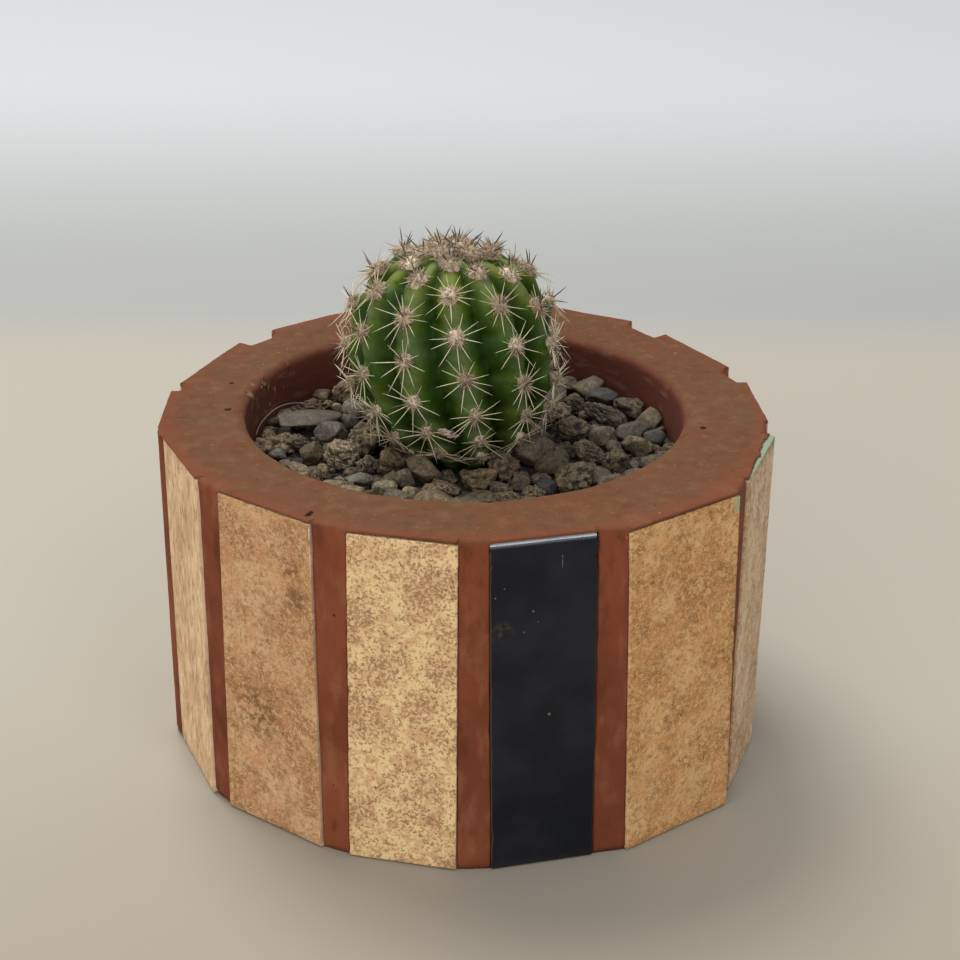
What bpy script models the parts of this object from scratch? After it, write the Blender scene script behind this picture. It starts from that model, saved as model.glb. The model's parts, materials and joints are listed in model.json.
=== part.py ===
"""A young ball cactus with low ribs, standing in gravel in a round cast pot with cut tiles set into its outside.

Metres, +Z up. The origin is on the pot's axis, in the plane that it stands on. The front faces -Y, and an
azimuth is an angle in degrees about an upright axis, from -Y towards +X.
"""

import math
import random
from collections import namedtuple

import bmesh
import bpy
from mathutils import Vector

CLEARANCE = 0.0003
RANDOM_SEED = 11
CUTTER_REACH = 0.0020
GOLDEN_TURN = math.pi * (3.0 - math.sqrt(5.0))
ROUNDING_STEPS = 3

# Pot
POT_HEIGHT = 0.0620
POT_FLOOR = 0.0080
BASE_CHAMFER = 0.0005
RIM_CHAMFER = 0.0005
STRIP_RECESS = 0.0005
STRIP_RIM_DROP = 0.0005
STRIP_RIM_INSET = 0.0008
STRIP_NOTCH_DEPTH = 0.0030
FACE_LAP = 0.0001
RIM_FLAT_RADIUS = 0.0485
CAVITY_CENTRE = Vector((-0.0010, 0.0, 0.0))
CAVITY_RADIUS = 0.0390
CAVITY_DRAFT = 0.0015
RIM_ROUNDING = 0.0018
FLOOR_ROUNDING = 0.0030
CAVITY_SIDES = 48
HOLE_SIDES = 32
PLANT_HOLE_RADIUS = 0.0104
MERGE_DISTANCE = 0.00001

# Tiles
TILE_THICKNESS = 0.0045
TILE_FOOT = CLEARANCE
TILE_EDGE_CHAMFER = 0.0003

# Soil and gravel
SOIL_TOP = 0.0460
BED_TOP = 0.0522
PEBBLE_COUNT = 112
PEBBLE_TRIES = 9000
PEBBLE_POINTS = 10
PEBBLE_RADIUS = (0.0028, 0.0050)
PEBBLE_FLATNESS = (0.60, 0.85)
PEBBLE_STRETCH = (0.95, 1.15)
PEBBLE_ROUGHNESS = (0.88, 1.05)
PEBBLE_TURN_ERROR = 0.45
PEBBLE_LIFT = (0.25, 0.55)
PEBBLE_SPACING = 0.84
PEBBLE_WALL_SHARE = 0.6
PEBBLE_PLANT_SHARE = 0.8
PEBBLE_TOP_NEAR_PLANT = 0.0556
PEBBLE_TOP = 0.0568
NEAR_PLANT = 0.0240
PLANT_CLEARANCE_RADIUS = 0.0132

# Cactus body, as two half superellipses about its widest level and a neck under the gravel
PLANT_CENTRE = Vector((-0.0034, 0.0025, 0.0))
PLANT_LEAN = 0.0016
BODY_RADIUS = 0.0183
WAIST_HEIGHT = 0.0700
CROWN_RISE = 0.0193
CROWN_POWER = 2.6
LOWER_DROP = 0.0226
LOWER_POWER = 1.6
NECK_TURN = -57.0
NECK_END_RADIUS = 0.0040
NECK_END_HEIGHT = 0.0390
NECK_TIP_HEIGHT = 0.0380
CROWN_ROWS = 11
LOWER_ROWS = 8
NECK_ROWS = 2
RIB_COUNT = 11
COLUMNS_PER_RIB = 5
RIB_DEPTH = 0.0021
RIB_SHARPNESS = 3.0
FULL_RIB_RADIUS = 0.0140
RIB_TWIST = 620.0
CHIN_HEIGHT = 0.0005
CHIN_BELOW = 0.0010
CHIN_REACH = 0.0030
CHIN_INNER_RADIUS = 0.0073
CHIN_STEPS = range(-5, 9)

# Where the ridges stand at the waist: the first three and the last three are as measured, the rest are even
RIB_AZIMUTHS = (10.0, 42.5, 72.5, 107.7, 142.9, 178.1, 213.3, 248.5, 283.7, 308.2, 339.5)

# Areoles: on each rib one step apart, and every rib's row starts 4/11 of a step lower than its left neighbour's
AREOLE_STEP_SHIFT = 4.0 / RIB_COUNT
AREOLE_MIDDLE = 0.0278
AREOLE_STEP = 0.0072
AREOLE_CROWDING_HIGH = -0.00010
AREOLE_CROWDING_LOW = 0.00022
AREOLE_STEPS = range(-3, 5)
NEAREST_AREOLE = 0.0006
LOWEST_AREOLE = 0.0572
AREOLE_RADIUS_LOW = 0.0014
AREOLE_RADIUS_HIGH = 0.0019
AREOLE_THICKNESS = 0.65
AREOLE_STAND = 0.00035
TANGENT_STEP = 0.0004

# Spines
RADIAL_SPINES = 5
CROWN_SPINES = 3
SPINE_RADIUS = 0.00030
SPINE_LENGTH = (0.0040, 0.0060)
CENTRAL_LENGTH = (0.0035, 0.0050)
RADIAL_RISE = (18.0, 30.0)
CROWN_SPINE_RISE = (50.0, 72.0)
CROWN_DISTANCE = 0.0100
CENTRAL_DISTANCE = 0.0220
CENTRAL_TILT_UP = (-0.1, 0.5)
CENTRAL_TILT_ACROSS = (-0.3, 0.3)
SPINE_FAN_ERROR = 9.0
SPINE_FLOOR = 0.0562

Areole = namedtuple("Areole", "distance point normal upward")
Tile = namedtuple("Tile", "kind azimuth turn face_radius top_width foot_width foot_shift top")

# The six tiles that face the front, as measured: each is cut and set a little differently
FRONT_TILES = [
    Tile("streaked", -65.0, -1.2, 0.0543, 0.0202, 0.0200, 0.0002, 0.0616),
    Tile("cork", -37.9, 1.8, 0.0538, 0.0198, 0.0213, -0.0002, 0.0615),
    Tile("cream", -11.0, -1.8, 0.0539, 0.0182, 0.0187, -0.0005, 0.0613),
    Tile("black", 13.0, 1.6, 0.0539, 0.0178, 0.0178, 0.0008, 0.0611),
    Tile("cork", 39.4, -2.2, 0.0554, 0.0237, 0.0233, 0.0019, 0.0613),
    Tile("grey", 66.8, 3.5, 0.0543, 0.0201, 0.0185, 0.0000, 0.0616),
]

# The tiles with hidden faces: all but the fourth stand where the rim's outline shows them, and the fourth is even
BACK_TILES = [
    Tile("cream", 93.1, 1.7, 0.0521, 0.0184, 0.0187, 0.0002, 0.0613),
    Tile("cork", 122.7, -1.6, 0.0517, 0.0203, 0.0200, -0.0003, 0.0614),
    Tile("streaked", 154.3, -2.0, 0.0537, 0.0200, 0.0204, 0.0003, 0.0612),
    Tile("black", 185.2, 0.5, 0.0540, 0.0200, 0.0198, 0.0001, 0.0613),
    Tile("cork", 216.0, 2.0, 0.0538, 0.0200, 0.0197, -0.0002, 0.0614),
    Tile("cream", 248.2, -1.2, 0.0530, 0.0225, 0.0222, 0.0003, 0.0612),
    Tile("grey", 272.7, -2.7, 0.0547, 0.0165, 0.0168, 0.0000, 0.0614),
]

COLOURS = {
    "concrete": ((0.205, 0.062, 0.036), 0.85),
    "streaked": ((0.55, 0.38, 0.20), 0.70),
    "cork": ((0.43, 0.26, 0.12), 0.70),
    "cream": ((0.62, 0.44, 0.21), 0.65),
    "black": ((0.012, 0.014, 0.018), 0.18),
    "grey": ((0.42, 0.33, 0.22), 0.70),
    "soil": ((0.045, 0.030, 0.020), 0.95),
    "gravel": ((0.17, 0.155, 0.13), 0.90),
    "cactus": ((0.055, 0.115, 0.025), 0.50),
}


def start_empty():
    for obj in list(bpy.data.objects):
        bpy.data.objects.remove(obj)


def make_collection(name):
    collection = bpy.data.collections.new(name)
    bpy.context.scene.collection.children.link(collection)
    return collection


def make_material(name, colour_key):
    colour, roughness = COLOURS[colour_key]
    material = bpy.data.materials.new(name)
    material.use_nodes = True
    shader = material.node_tree.nodes["Principled BSDF"]
    shader.inputs["Base Color"].default_value = (*colour, 1.0)
    shader.inputs["Roughness"].default_value = roughness
    shader.inputs["Metallic"].default_value = 0.0
    return material


def add_object(name, bm, collection):
    mesh = bpy.data.meshes.new(name)
    bm.to_mesh(mesh)
    bm.free()
    obj = bpy.data.objects.new(name, mesh)
    collection.objects.link(obj)
    return obj


def mark_cutter(cutter):
    cutter.hide_render = True
    cutter.display_type = "WIRE"
    return cutter


def between(limits, rng):
    return rng.uniform(*limits)


def error(limit, rng):
    return rng.uniform(-limit, limit)


def mix(start, end, share):
    return start + (end - start) * share


def quarter_turn():
    """Angles from 0 to 90 degrees, in radians, for the steps of a rounded edge."""
    return [math.pi / 2.0 * step / ROUNDING_STEPS for step in range(ROUNDING_STEPS + 1)]


def outward(azimuth):
    angle = math.radians(azimuth)
    return Vector((math.sin(angle), -math.cos(angle), 0.0))


def sideways(azimuth):
    return outward(azimuth + 90.0)


def add_turned(name, profile, centre, sides, collection):
    """A solid turned about an upright axis, from (radius, height) points from its top, out and down to its foot."""
    bm = bmesh.new()
    verts = [bm.verts.new((radius, 0.0, height)) for radius, height in profile]
    for upper, lower in zip(verts, verts[1:]):
        bm.edges.new((upper, lower))
    obj = add_object(name, bm, collection)
    obj.location = centre
    turn = obj.modifiers.new("turn", "SCREW")
    turn.steps = sides
    turn.render_steps = sides
    turn.use_merge_vertices = True
    turn.merge_threshold = MERGE_DISTANCE
    return obj


def fuse(obj, pieces):
    """Joins every object of the collection into obj, and then removes them."""
    union = obj.modifiers.new("union", "BOOLEAN")
    union.operation = "UNION"
    union.operand_type = "COLLECTION"
    union.collection = pieces
    union.solver = "MANIFOLD"
    depsgraph = bpy.context.evaluated_depsgraph_get()
    fused = bpy.data.meshes.new_from_object(obj.evaluated_get(depsgraph))
    obj.modifiers.clear()
    obj.data = fused
    for piece in list(pieces.objects):
        bpy.data.objects.remove(piece)
    bpy.data.collections.remove(pieces)


# Pot and tiles


def tile_block(tile, margin=0.0, reach_out=0.0, reach_down=0.0):
    """A tile about the middle of its face, or its pocket, with the margin added at the sides, back and top."""
    bm = bmesh.new()
    bmesh.ops.create_cube(bm, size=2.0)
    for vert in bm.verts:
        at_top = vert.co.z > 0.0
        half_width = (tile.top_width if at_top else tile.foot_width) / 2.0 + margin
        shift = 0.0 if at_top else tile.foot_shift
        x = vert.co.x * half_width + shift
        y = TILE_THICKNESS + margin if vert.co.y > 0.0 else -reach_out
        z = tile.top + margin if at_top else TILE_FOOT - reach_down
        vert.co = (x, y, z)
    return bm


def place_on_pot(obj, tile):
    obj.location = outward(tile.azimuth) * tile.face_radius
    obj.rotation_euler.z = math.radians(tile.azimuth + tile.turn)


def make_tiles(tiles, collection):
    for number, tile in enumerate(tiles, start=1):
        bm = tile_block(tile)
        bmesh.ops.bevel(bm, geom=bm.edges[:], offset=TILE_EDGE_CHAMFER, segments=1, affect="EDGES")
        name = f"tile_{number:02d}"
        obj = add_object(name, bm, collection)
        place_on_pot(obj, tile)
        obj.data.materials.append(make_material(name, tile.kind))


def tile_face_edge(tile, side, height):
    """The point where the concrete over a tile's face ends, just inside the tile's side edge."""
    share = height / tile.top
    half_width = mix(tile.foot_width, tile.top_width, share) / 2.0 - CLEARANCE
    shift = mix(tile.foot_shift, 0.0, share)
    centre = outward(tile.azimuth) * (tile.face_radius - FACE_LAP)
    point = centre + sideways(tile.azimuth + tile.turn) * (side * half_width + shift)
    return Vector((point.x, point.y, height))


def pot_ring(tiles, height, inset, strip_inset, strip_drop=0.0):
    """The pot's outline at a height: a flat over each tile, and the strips between them stand back."""
    ring = []
    for tile in tiles:
        for side in (-1.0, 1.0):
            edge = tile_face_edge(tile, side, height)
            inward = -Vector((edge.x, edge.y, 0.0)).normalized()
            on_flat = edge + inward * inset
            on_strip = edge + inward * strip_inset - Vector((0.0, 0.0, strip_drop))
            ring += [on_strip, on_flat] if side < 0.0 else [on_flat, on_strip]
    return ring


def flattened(point, radius, height):
    """The point moved in or out to a circle about the pot's axis, at the given height."""
    level = Vector((point.x, point.y, 0.0)).normalized() * radius
    return level + Vector((0.0, 0.0, height))


def loft(rings):
    """Joins closed rings of equally many points, lowest first, into one solid with a flat face at each end."""
    bm = bmesh.new()
    loops = [[bm.verts.new(point) for point in ring] for ring in rings]
    count = len(rings[0])
    for lower, upper in zip(loops, loops[1:]):
        for i in range(count):
            following = (i + 1) % count
            bm.faces.new((lower[i], lower[following], upper[following], upper[i]))
    bm.faces.new(reversed(loops[0]))
    bm.faces.new(loops[-1])
    bmesh.ops.remove_doubles(bm, verts=bm.verts[:], dist=MERGE_DISTANCE)
    bmesh.ops.triangulate(bm, faces=[face for face in bm.faces if len(face.verts) > 4])
    bmesh.ops.recalc_face_normals(bm, faces=bm.faces[:])
    return bm


def wall_radius(height):
    """The cavity's radius, which narrows towards the floor."""
    return CAVITY_RADIUS - CAVITY_DRAFT * (POT_HEIGHT - height) / (POT_HEIGHT - POT_FLOOR)


def cavity_profile():
    above = POT_HEIGHT + CUTTER_REACH
    points = [(0.0, above), (CAVITY_RADIUS + RIM_ROUNDING, above)]
    for angle in quarter_turn():
        radius = CAVITY_RADIUS + RIM_ROUNDING * (1.0 - math.sin(angle))
        points.append((radius, POT_HEIGHT - RIM_ROUNDING * (1.0 - math.cos(angle))))
    floor_radius = wall_radius(POT_FLOOR)
    for angle in quarter_turn():
        radius = floor_radius - FLOOR_ROUNDING * (1.0 - math.cos(angle))
        points.append((radius, POT_FLOOR + FLOOR_ROUNDING * (1.0 - math.sin(angle))))
    points.append((0.0, POT_FLOOR))
    return points


def make_pot(tiles, collection, cutters):
    strip = STRIP_RECESS
    rings = [
        pot_ring(tiles, 0.0, BASE_CHAMFER, strip + BASE_CHAMFER),
        pot_ring(tiles, BASE_CHAMFER, 0.0, strip),
        pot_ring(tiles, POT_HEIGHT - STRIP_NOTCH_DEPTH, 0.0, strip),
        pot_ring(tiles, POT_HEIGHT - RIM_CHAMFER, 0.0, strip + STRIP_RIM_INSET, STRIP_RIM_DROP),
        pot_ring(tiles, POT_HEIGHT, RIM_CHAMFER, strip + STRIP_RIM_INSET + RIM_CHAMFER, STRIP_RIM_DROP),
    ]
    rings.append([flattened(point, RIM_FLAT_RADIUS, POT_HEIGHT) for point in rings[-1]])
    pot = add_object("pot", loft(rings), collection)
    pot.data.materials.append(make_material("pot", "concrete"))
    mark_cutter(add_turned("cavity", cavity_profile(), CAVITY_CENTRE, CAVITY_SIDES, cutters))
    for number, tile in enumerate(tiles, start=1):
        pocket = tile_block(tile, margin=CLEARANCE, reach_out=CUTTER_REACH, reach_down=CUTTER_REACH)
        cutter = add_object(f"pocket_{number:02d}", pocket, cutters)
        place_on_pot(mark_cutter(cutter), tile)
    cut = pot.modifiers.new("cut", "BOOLEAN")
    cut.operation = "DIFFERENCE"
    cut.operand_type = "COLLECTION"
    cut.collection = cutters
    cut.solver = "EXACT"


# Cactus


def meridian_point(turn):
    """Radius and height on the body's side view: turn 90 is the crown, 0 the waist, and NECK_TURN the neck."""
    rise, power = (CROWN_RISE, CROWN_POWER) if turn > 0.0 else (-LOWER_DROP, LOWER_POWER)
    angle = math.radians(abs(turn))
    radius = BODY_RADIUS * max(math.cos(angle), 0.0) ** (2.0 / power)
    return radius, WAIST_HEIGHT + rise * math.sin(angle) ** (2.0 / power)


def measured_meridian():
    """(distance from the crown, radius, height) in small steps down the body's side."""
    radius, height = meridian_point(90.0)
    distance = 0.0
    points = [(distance, radius, height)]
    turn = 90.0
    while turn > NECK_TURN:
        turn -= 0.5
        next_radius, next_height = meridian_point(turn)
        distance += math.hypot(next_radius - radius, next_height - height)
        radius, height = next_radius, next_height
        points.append((distance, radius, height))
    return points


def meridian_at(distance, meridian):
    for (start, r0, z0), (end, r1, z1) in zip(meridian, meridian[1:]):
        if end >= distance:
            share = (distance - start) / (end - start)
            return mix(r0, r1, share), mix(z0, z1, share)
    return meridian[-1][1:]


def distance_at_height(height, meridian):
    return next((distance for distance, _, z in meridian if z <= height), meridian[-1][0])


def areole_distance(step):
    """How far from the crown an areole sits: the steps are nearly even, and crowd towards the foot."""
    crowding = AREOLE_CROWDING_HIGH if step > 0.5 else AREOLE_CROWDING_LOW
    return AREOLE_MIDDLE - AREOLE_STEP * step + crowding * (step - 0.5) ** 3 / 3.0


def waist_azimuth(rib):
    turns, index = divmod(rib, RIB_COUNT)
    return RIB_AZIMUTHS[index] + 360.0 * turns


def rib_azimuth(rib_position, height):
    """The azimuth of a ridge, or of a place between two of them, on the slightly twisted body."""
    rib = math.floor(rib_position)
    at_waist = mix(waist_azimuth(rib), waist_azimuth(rib + 1), rib_position - rib)
    return at_waist + RIB_TWIST * (WAIST_HEIGHT - height)


def plant_axis(height):
    """The centre line leans: it stands further right at the gravel than at the waist."""
    share = (WAIST_HEIGHT - height) / (WAIST_HEIGHT - BED_TOP)
    return PLANT_CENTRE + Vector((PLANT_LEAN * min(max(share, 0.0), 1.0), 0.0, 0.0))


def chin(rib, height, meridian):
    """The swelling under each areole: 0 between two of them, 1 at its fullest."""
    distance = distance_at_height(height, meridian)
    shift = -rib * AREOLE_STEP_SHIFT
    below = [distance - areole_distance(step + shift) for step in CHIN_STEPS]
    nearest = min(abs(gap - CHIN_BELOW) for gap in below)
    return max(0.0, 1.0 - nearest / CHIN_REACH)


def body_point(radius, height, rib_position, meridian):
    """A point on the ribbed body: whole rib positions are the ridges, and halves are the grooves."""
    rib = round(rib_position)
    across = abs(rib_position - rib) * 2.0
    depth = RIB_DEPTH * min(1.0, radius / FULL_RIB_RADIUS)
    ribbed = radius - depth * across**RIB_SHARPNESS
    if radius > CHIN_INNER_RADIUS and height > BED_TOP:
        ribbed += CHIN_HEIGHT * chin(rib, height, meridian) * (1.0 - across)
    return plant_axis(height) + outward(rib_azimuth(rib_position, height)) * ribbed + Vector((0.0, 0.0, height))


def body_rows():
    """(radius, height) of each row of the body, from the crown to the tip of the neck."""
    turns = [90.0 * (1.0 - i / CROWN_ROWS) for i in range(CROWN_ROWS)]
    turns += [NECK_TURN * i / LOWER_ROWS for i in range(LOWER_ROWS + 1)]
    rows = [meridian_point(turn) for turn in turns]
    neck_radius, neck_height = rows[-1]
    for i in range(1, NECK_ROWS + 1):
        share = i / NECK_ROWS
        rows.append((mix(neck_radius, NECK_END_RADIUS, share), mix(neck_height, NECK_END_HEIGHT, share)))
    rows.append((0.0, NECK_TIP_HEIGHT))
    return rows


def make_body(collection, meridian):
    rows = body_rows()
    columns = RIB_COUNT * COLUMNS_PER_RIB
    bm = bmesh.new()
    bmesh.ops.create_uvsphere(bm, u_segments=columns, v_segments=len(rows) - 1, radius=1.0)
    for vert in bm.verts:
        row = round(math.acos(max(-1.0, min(1.0, vert.co.z))) / math.pi * (len(rows) - 1))
        radius, height = rows[row]
        column = round(math.atan2(vert.co.y, vert.co.x) / math.tau * columns)
        rib_position = (column + 0.5 * COLUMNS_PER_RIB) / COLUMNS_PER_RIB
        if 0 < row < len(rows) - 1:
            vert.co = body_point(radius, height, rib_position, meridian)
        else:
            vert.co = plant_axis(height) + Vector((0.0, 0.0, height))
    bmesh.ops.recalc_face_normals(bm, faces=bm.faces[:])
    return add_object("cactus", bm, collection)


def all_areoles(meridian):
    """Every areole: its distance from the crown, its place, the outward normal and the upward tangent."""
    areoles = []
    for rib in range(RIB_COUNT):
        shift = -(rib * AREOLE_STEP_SHIFT % 1.0)
        for step in AREOLE_STEPS:
            distance = areole_distance(step + shift)
            if distance < NEAREST_AREOLE:
                continue
            radius, height = meridian_at(distance, meridian)
            if height < LOWEST_AREOLE:
                continue
            lower_radius, lower_height = meridian_at(distance + TANGENT_STEP, meridian)
            azimuth = rib_azimuth(rib, height)
            point = plant_axis(height) + outward(azimuth) * radius + Vector((0.0, 0.0, height))
            upward = outward(azimuth) * (radius - lower_radius) + Vector((0.0, 0.0, height - lower_height))
            upward.normalize()
            normal = sideways(azimuth).cross(upward)
            areoles.append(Areole(distance, point, normal, upward))
    return areoles


def add_cushion(areole, pieces):
    high = 1.0 - min(areole.distance / areole_distance(AREOLE_STEPS.start), 1.0)
    radius = mix(AREOLE_RADIUS_LOW, AREOLE_RADIUS_HIGH, high)
    bm = bmesh.new()
    bmesh.ops.create_uvsphere(bm, u_segments=5, v_segments=3, radius=radius)
    bmesh.ops.scale(bm, verts=bm.verts[:], vec=(1.0, 1.0, AREOLE_THICKNESS))
    cushion = add_object("cushion", bm, pieces)
    cushion.rotation_euler = areole.normal.to_track_quat("Z", "Y").to_euler()
    cushion.location = areole.point + areole.normal * AREOLE_STAND


def add_spine(root, direction, length, pieces):
    bm = bmesh.new()
    bmesh.ops.create_cone(bm, cap_ends=True, segments=3, radius1=SPINE_RADIUS, radius2=0.0, depth=length)
    bmesh.ops.remove_doubles(bm, verts=bm.verts[:], dist=MERGE_DISTANCE / 10.0)
    bmesh.ops.translate(bm, verts=bm.verts[:], vec=(0.0, 0.0, length / 2.0))
    spine = add_object("spine", bm, pieces)
    spine.rotation_euler = direction.to_track_quat("Z", "Y").to_euler()
    spine.location = root


def clear_of_gravel(direction, root, length):
    """Bends a spine up where its tip would reach the stones."""
    lowest_rise = (SPINE_FLOOR - root.z) / length
    if direction.z >= lowest_rise:
        return direction
    level = Vector((direction.x, direction.y, 0.0)).normalized()
    return level * math.sqrt(1.0 - lowest_rise**2) + Vector((0.0, 0.0, lowest_rise))


def add_spines(areole, pieces, rng):
    normal, upward = areole.normal, areole.upward
    across = normal.cross(upward)
    at_crown = areole.distance < CROWN_DISTANCE
    count = CROWN_SPINES if at_crown else RADIAL_SPINES
    rises = CROWN_SPINE_RISE if at_crown else RADIAL_RISE
    start = rng.uniform(0.0, 360.0 / count)
    root = areole.point + normal * AREOLE_STAND
    for i in range(count):
        around = math.radians(start + 360.0 * i / count + error(SPINE_FAN_ERROR, rng))
        rise = math.radians(between(rises, rng))
        length = between(SPINE_LENGTH, rng)
        spread = upward * math.cos(around) + across * math.sin(around)
        direction = spread * math.cos(rise) + normal * math.sin(rise)
        add_spine(root, clear_of_gravel(direction, root, length), length, pieces)
    if CROWN_DISTANCE <= areole.distance < CENTRAL_DISTANCE:
        tilt = upward * between(CENTRAL_TILT_UP, rng) + across * between(CENTRAL_TILT_ACROSS, rng)
        add_spine(root, (normal + tilt).normalized(), between(CENTRAL_LENGTH, rng), pieces)


def make_cactus(collection, meridian):
    body = make_body(collection, meridian)
    pieces = make_collection("areoles and spines")
    rng = random.Random(RANDOM_SEED)
    for areole in all_areoles(meridian):
        add_cushion(areole, pieces)
        add_spines(areole, pieces, rng)
    fuse(body, pieces)
    body.data.materials.append(make_material("cactus", "cactus"))


# Soil and gravel


def fill_profile(low, high):
    """A disc that fills the cavity between two heights."""
    return [
        (0.0, high),
        (wall_radius(high) - CLEARANCE, high),
        (wall_radius(low) - CLEARANCE, low),
        (0.0, low),
    ]


def make_soil(collection, cutters):
    low = POT_FLOOR + CLEARANCE
    profile = fill_profile(low + FLOOR_ROUNDING, SOIL_TOP)
    floor_radius = wall_radius(POT_FLOOR) - CLEARANCE
    profile.insert(-1, (floor_radius - FLOOR_ROUNDING, low))
    profile[-1] = (0.0, low)
    soil = add_turned("soil", profile, CAVITY_CENTRE, CAVITY_SIDES, collection)
    soil.data.materials.append(make_material("soil", "soil"))

    neck_radius, neck_height = meridian_point(NECK_TURN)
    above = SOIL_TOP + CUTTER_REACH
    top_share = (above - NECK_END_HEIGHT) / (neck_height - NECK_END_HEIGHT)
    hole = [
        (0.0, above),
        (mix(NECK_END_RADIUS, neck_radius, top_share) + 2.0 * CLEARANCE, above),
        (NECK_END_RADIUS + 2.0 * CLEARANCE, NECK_TIP_HEIGHT - CLEARANCE),
        (0.0, NECK_TIP_HEIGHT - CLEARANCE),
    ]
    cut_with(soil, mark_cutter(add_turned("foot_hole", hole, plant_axis(SOIL_TOP), HOLE_SIDES, cutters)))


def cut_with(obj, cutter):
    cut = obj.modifiers.new("cut", "BOOLEAN")
    cut.operation = "DIFFERENCE"
    cut.object = cutter
    cut.solver = "EXACT"


def pebble_places(rng):
    """(centre, radius) of each pebble, set by throwing darts and keeping those with room."""
    plant = plant_axis(BED_TOP)
    places = []
    for _ in range(PEBBLE_TRIES):
        if len(places) == PEBBLE_COUNT:
            break
        radius = between(PEBBLE_RADIUS, rng)
        spot = CAVITY_CENTRE + outward(rng.uniform(0.0, 360.0)) * CAVITY_RADIUS * math.sqrt(rng.random())
        if (spot - CAVITY_CENTRE).length > wall_radius(BED_TOP) - PEBBLE_WALL_SHARE * radius:
            continue
        if (spot - plant).length < PLANT_CLEARANCE_RADIUS + PEBBLE_PLANT_SHARE * radius:
            continue
        if all((spot - other).length > PEBBLE_SPACING * (radius + size) for other, size in places):
            places.append((spot, radius))
    return places


def kept_off(point, centre, nearest, furthest):
    """The point moved level, where it must be, to lie between two distances from an upright axis."""
    away = Vector((point.x - centre.x, point.y - centre.y, 0.0))
    distance = min(max(away.length, nearest), furthest)
    return point + away.normalized() * (distance - away.length)


def add_pebble(spot, radius, pieces, rng):
    """A broken stone: the hull of points on a stretched ball, kept inside the pot's wall."""
    flatness = between(PEBBLE_FLATNESS, rng)
    stretch = between(PEBBLE_STRETCH, rng)
    along = outward(rng.uniform(0.0, 360.0))
    across = Vector((-along.y, along.x, 0.0))
    lift = radius * flatness * between(PEBBLE_LIFT, rng)
    centre = spot + Vector((0.0, 0.0, BED_TOP + lift))
    near_plant = (spot - plant_axis(BED_TOP)).length < NEAR_PLANT
    top = PEBBLE_TOP_NEAR_PLANT if near_plant else PEBBLE_TOP
    wall = wall_radius(BED_TOP) - CLEARANCE
    bm = bmesh.new()
    for i in range(PEBBLE_POINTS):
        rise = 1.0 - 2.0 * (i + 0.5) / PEBBLE_POINTS
        level = math.sqrt(1.0 - rise * rise)
        angle = i * GOLDEN_TURN + error(PEBBLE_TURN_ERROR, rng)
        size = radius * between(PEBBLE_ROUGHNESS, rng)
        point = centre + along * (math.cos(angle) * level * size * stretch)
        point += across * (math.sin(angle) * level * size / stretch)
        point.z += rise * size * flatness
        point.z = min(point.z, top)
        point = kept_off(point, plant_axis(BED_TOP), PLANT_CLEARANCE_RADIUS, math.inf)
        point = kept_off(point, CAVITY_CENTRE, 0.0, wall)
        bm.verts.new(point)
    hull = bmesh.ops.convex_hull(bm, input=bm.verts[:])
    bmesh.ops.delete(bm, geom=hull["geom_interior"], context="VERTS")
    bmesh.ops.recalc_face_normals(bm, faces=bm.faces[:])
    add_object("pebble", bm, pieces)


def make_gravel(collection, cutters):
    bed = fill_profile(SOIL_TOP + CLEARANCE, BED_TOP)
    gravel = add_turned("gravel", bed, CAVITY_CENTRE, CAVITY_SIDES, collection)
    pieces = make_collection("pebbles")
    rng = random.Random(RANDOM_SEED)
    for spot, radius in pebble_places(rng):
        add_pebble(spot, radius, pieces, rng)
    fuse(gravel, pieces)
    gravel.data.materials.append(make_material("gravel", "gravel"))

    top = PEBBLE_TOP_NEAR_PLANT + CLEARANCE
    low = SOIL_TOP - CLEARANCE
    hole = [(0.0, top), (PLANT_HOLE_RADIUS, top), (PLANT_HOLE_RADIUS, low), (0.0, low)]
    cutter = add_turned("plant_hole", hole, plant_axis(BED_TOP), HOLE_SIDES, cutters)
    cut_with(gravel, mark_cutter(cutter))


def main():
    start_empty()
    collection = make_collection("potted cactus")
    cutters = make_collection("pot cutters")
    other_cutters = make_collection("fill cutters")
    tiles = FRONT_TILES + BACK_TILES
    meridian = measured_meridian()
    make_pot(tiles, collection, cutters)
    make_tiles(tiles, collection)
    make_soil(collection, other_cutters)
    make_gravel(collection, other_cutters)
    make_cactus(collection, meridian)


main()
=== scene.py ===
import itertools
import json
import math
from collections import namedtuple

import bmesh
import bpy
import numpy as np
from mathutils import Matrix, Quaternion, Vector


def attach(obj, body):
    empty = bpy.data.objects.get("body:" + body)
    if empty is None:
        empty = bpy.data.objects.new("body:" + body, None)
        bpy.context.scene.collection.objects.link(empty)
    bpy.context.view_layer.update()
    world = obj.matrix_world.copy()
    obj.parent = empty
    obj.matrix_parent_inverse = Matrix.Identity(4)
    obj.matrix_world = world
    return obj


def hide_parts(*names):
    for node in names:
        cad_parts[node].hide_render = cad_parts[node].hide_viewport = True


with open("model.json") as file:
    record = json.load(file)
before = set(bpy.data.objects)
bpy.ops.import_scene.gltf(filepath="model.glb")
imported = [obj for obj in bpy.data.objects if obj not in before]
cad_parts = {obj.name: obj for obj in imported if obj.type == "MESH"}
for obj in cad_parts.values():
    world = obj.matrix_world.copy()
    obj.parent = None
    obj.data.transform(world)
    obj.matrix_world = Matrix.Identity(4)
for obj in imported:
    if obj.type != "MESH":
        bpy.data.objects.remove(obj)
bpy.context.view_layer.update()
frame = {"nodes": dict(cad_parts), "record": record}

# Looks of the potted ball cactus. Metres, +Z up, front faces -Y, in the frame of the CAD part.

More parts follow.
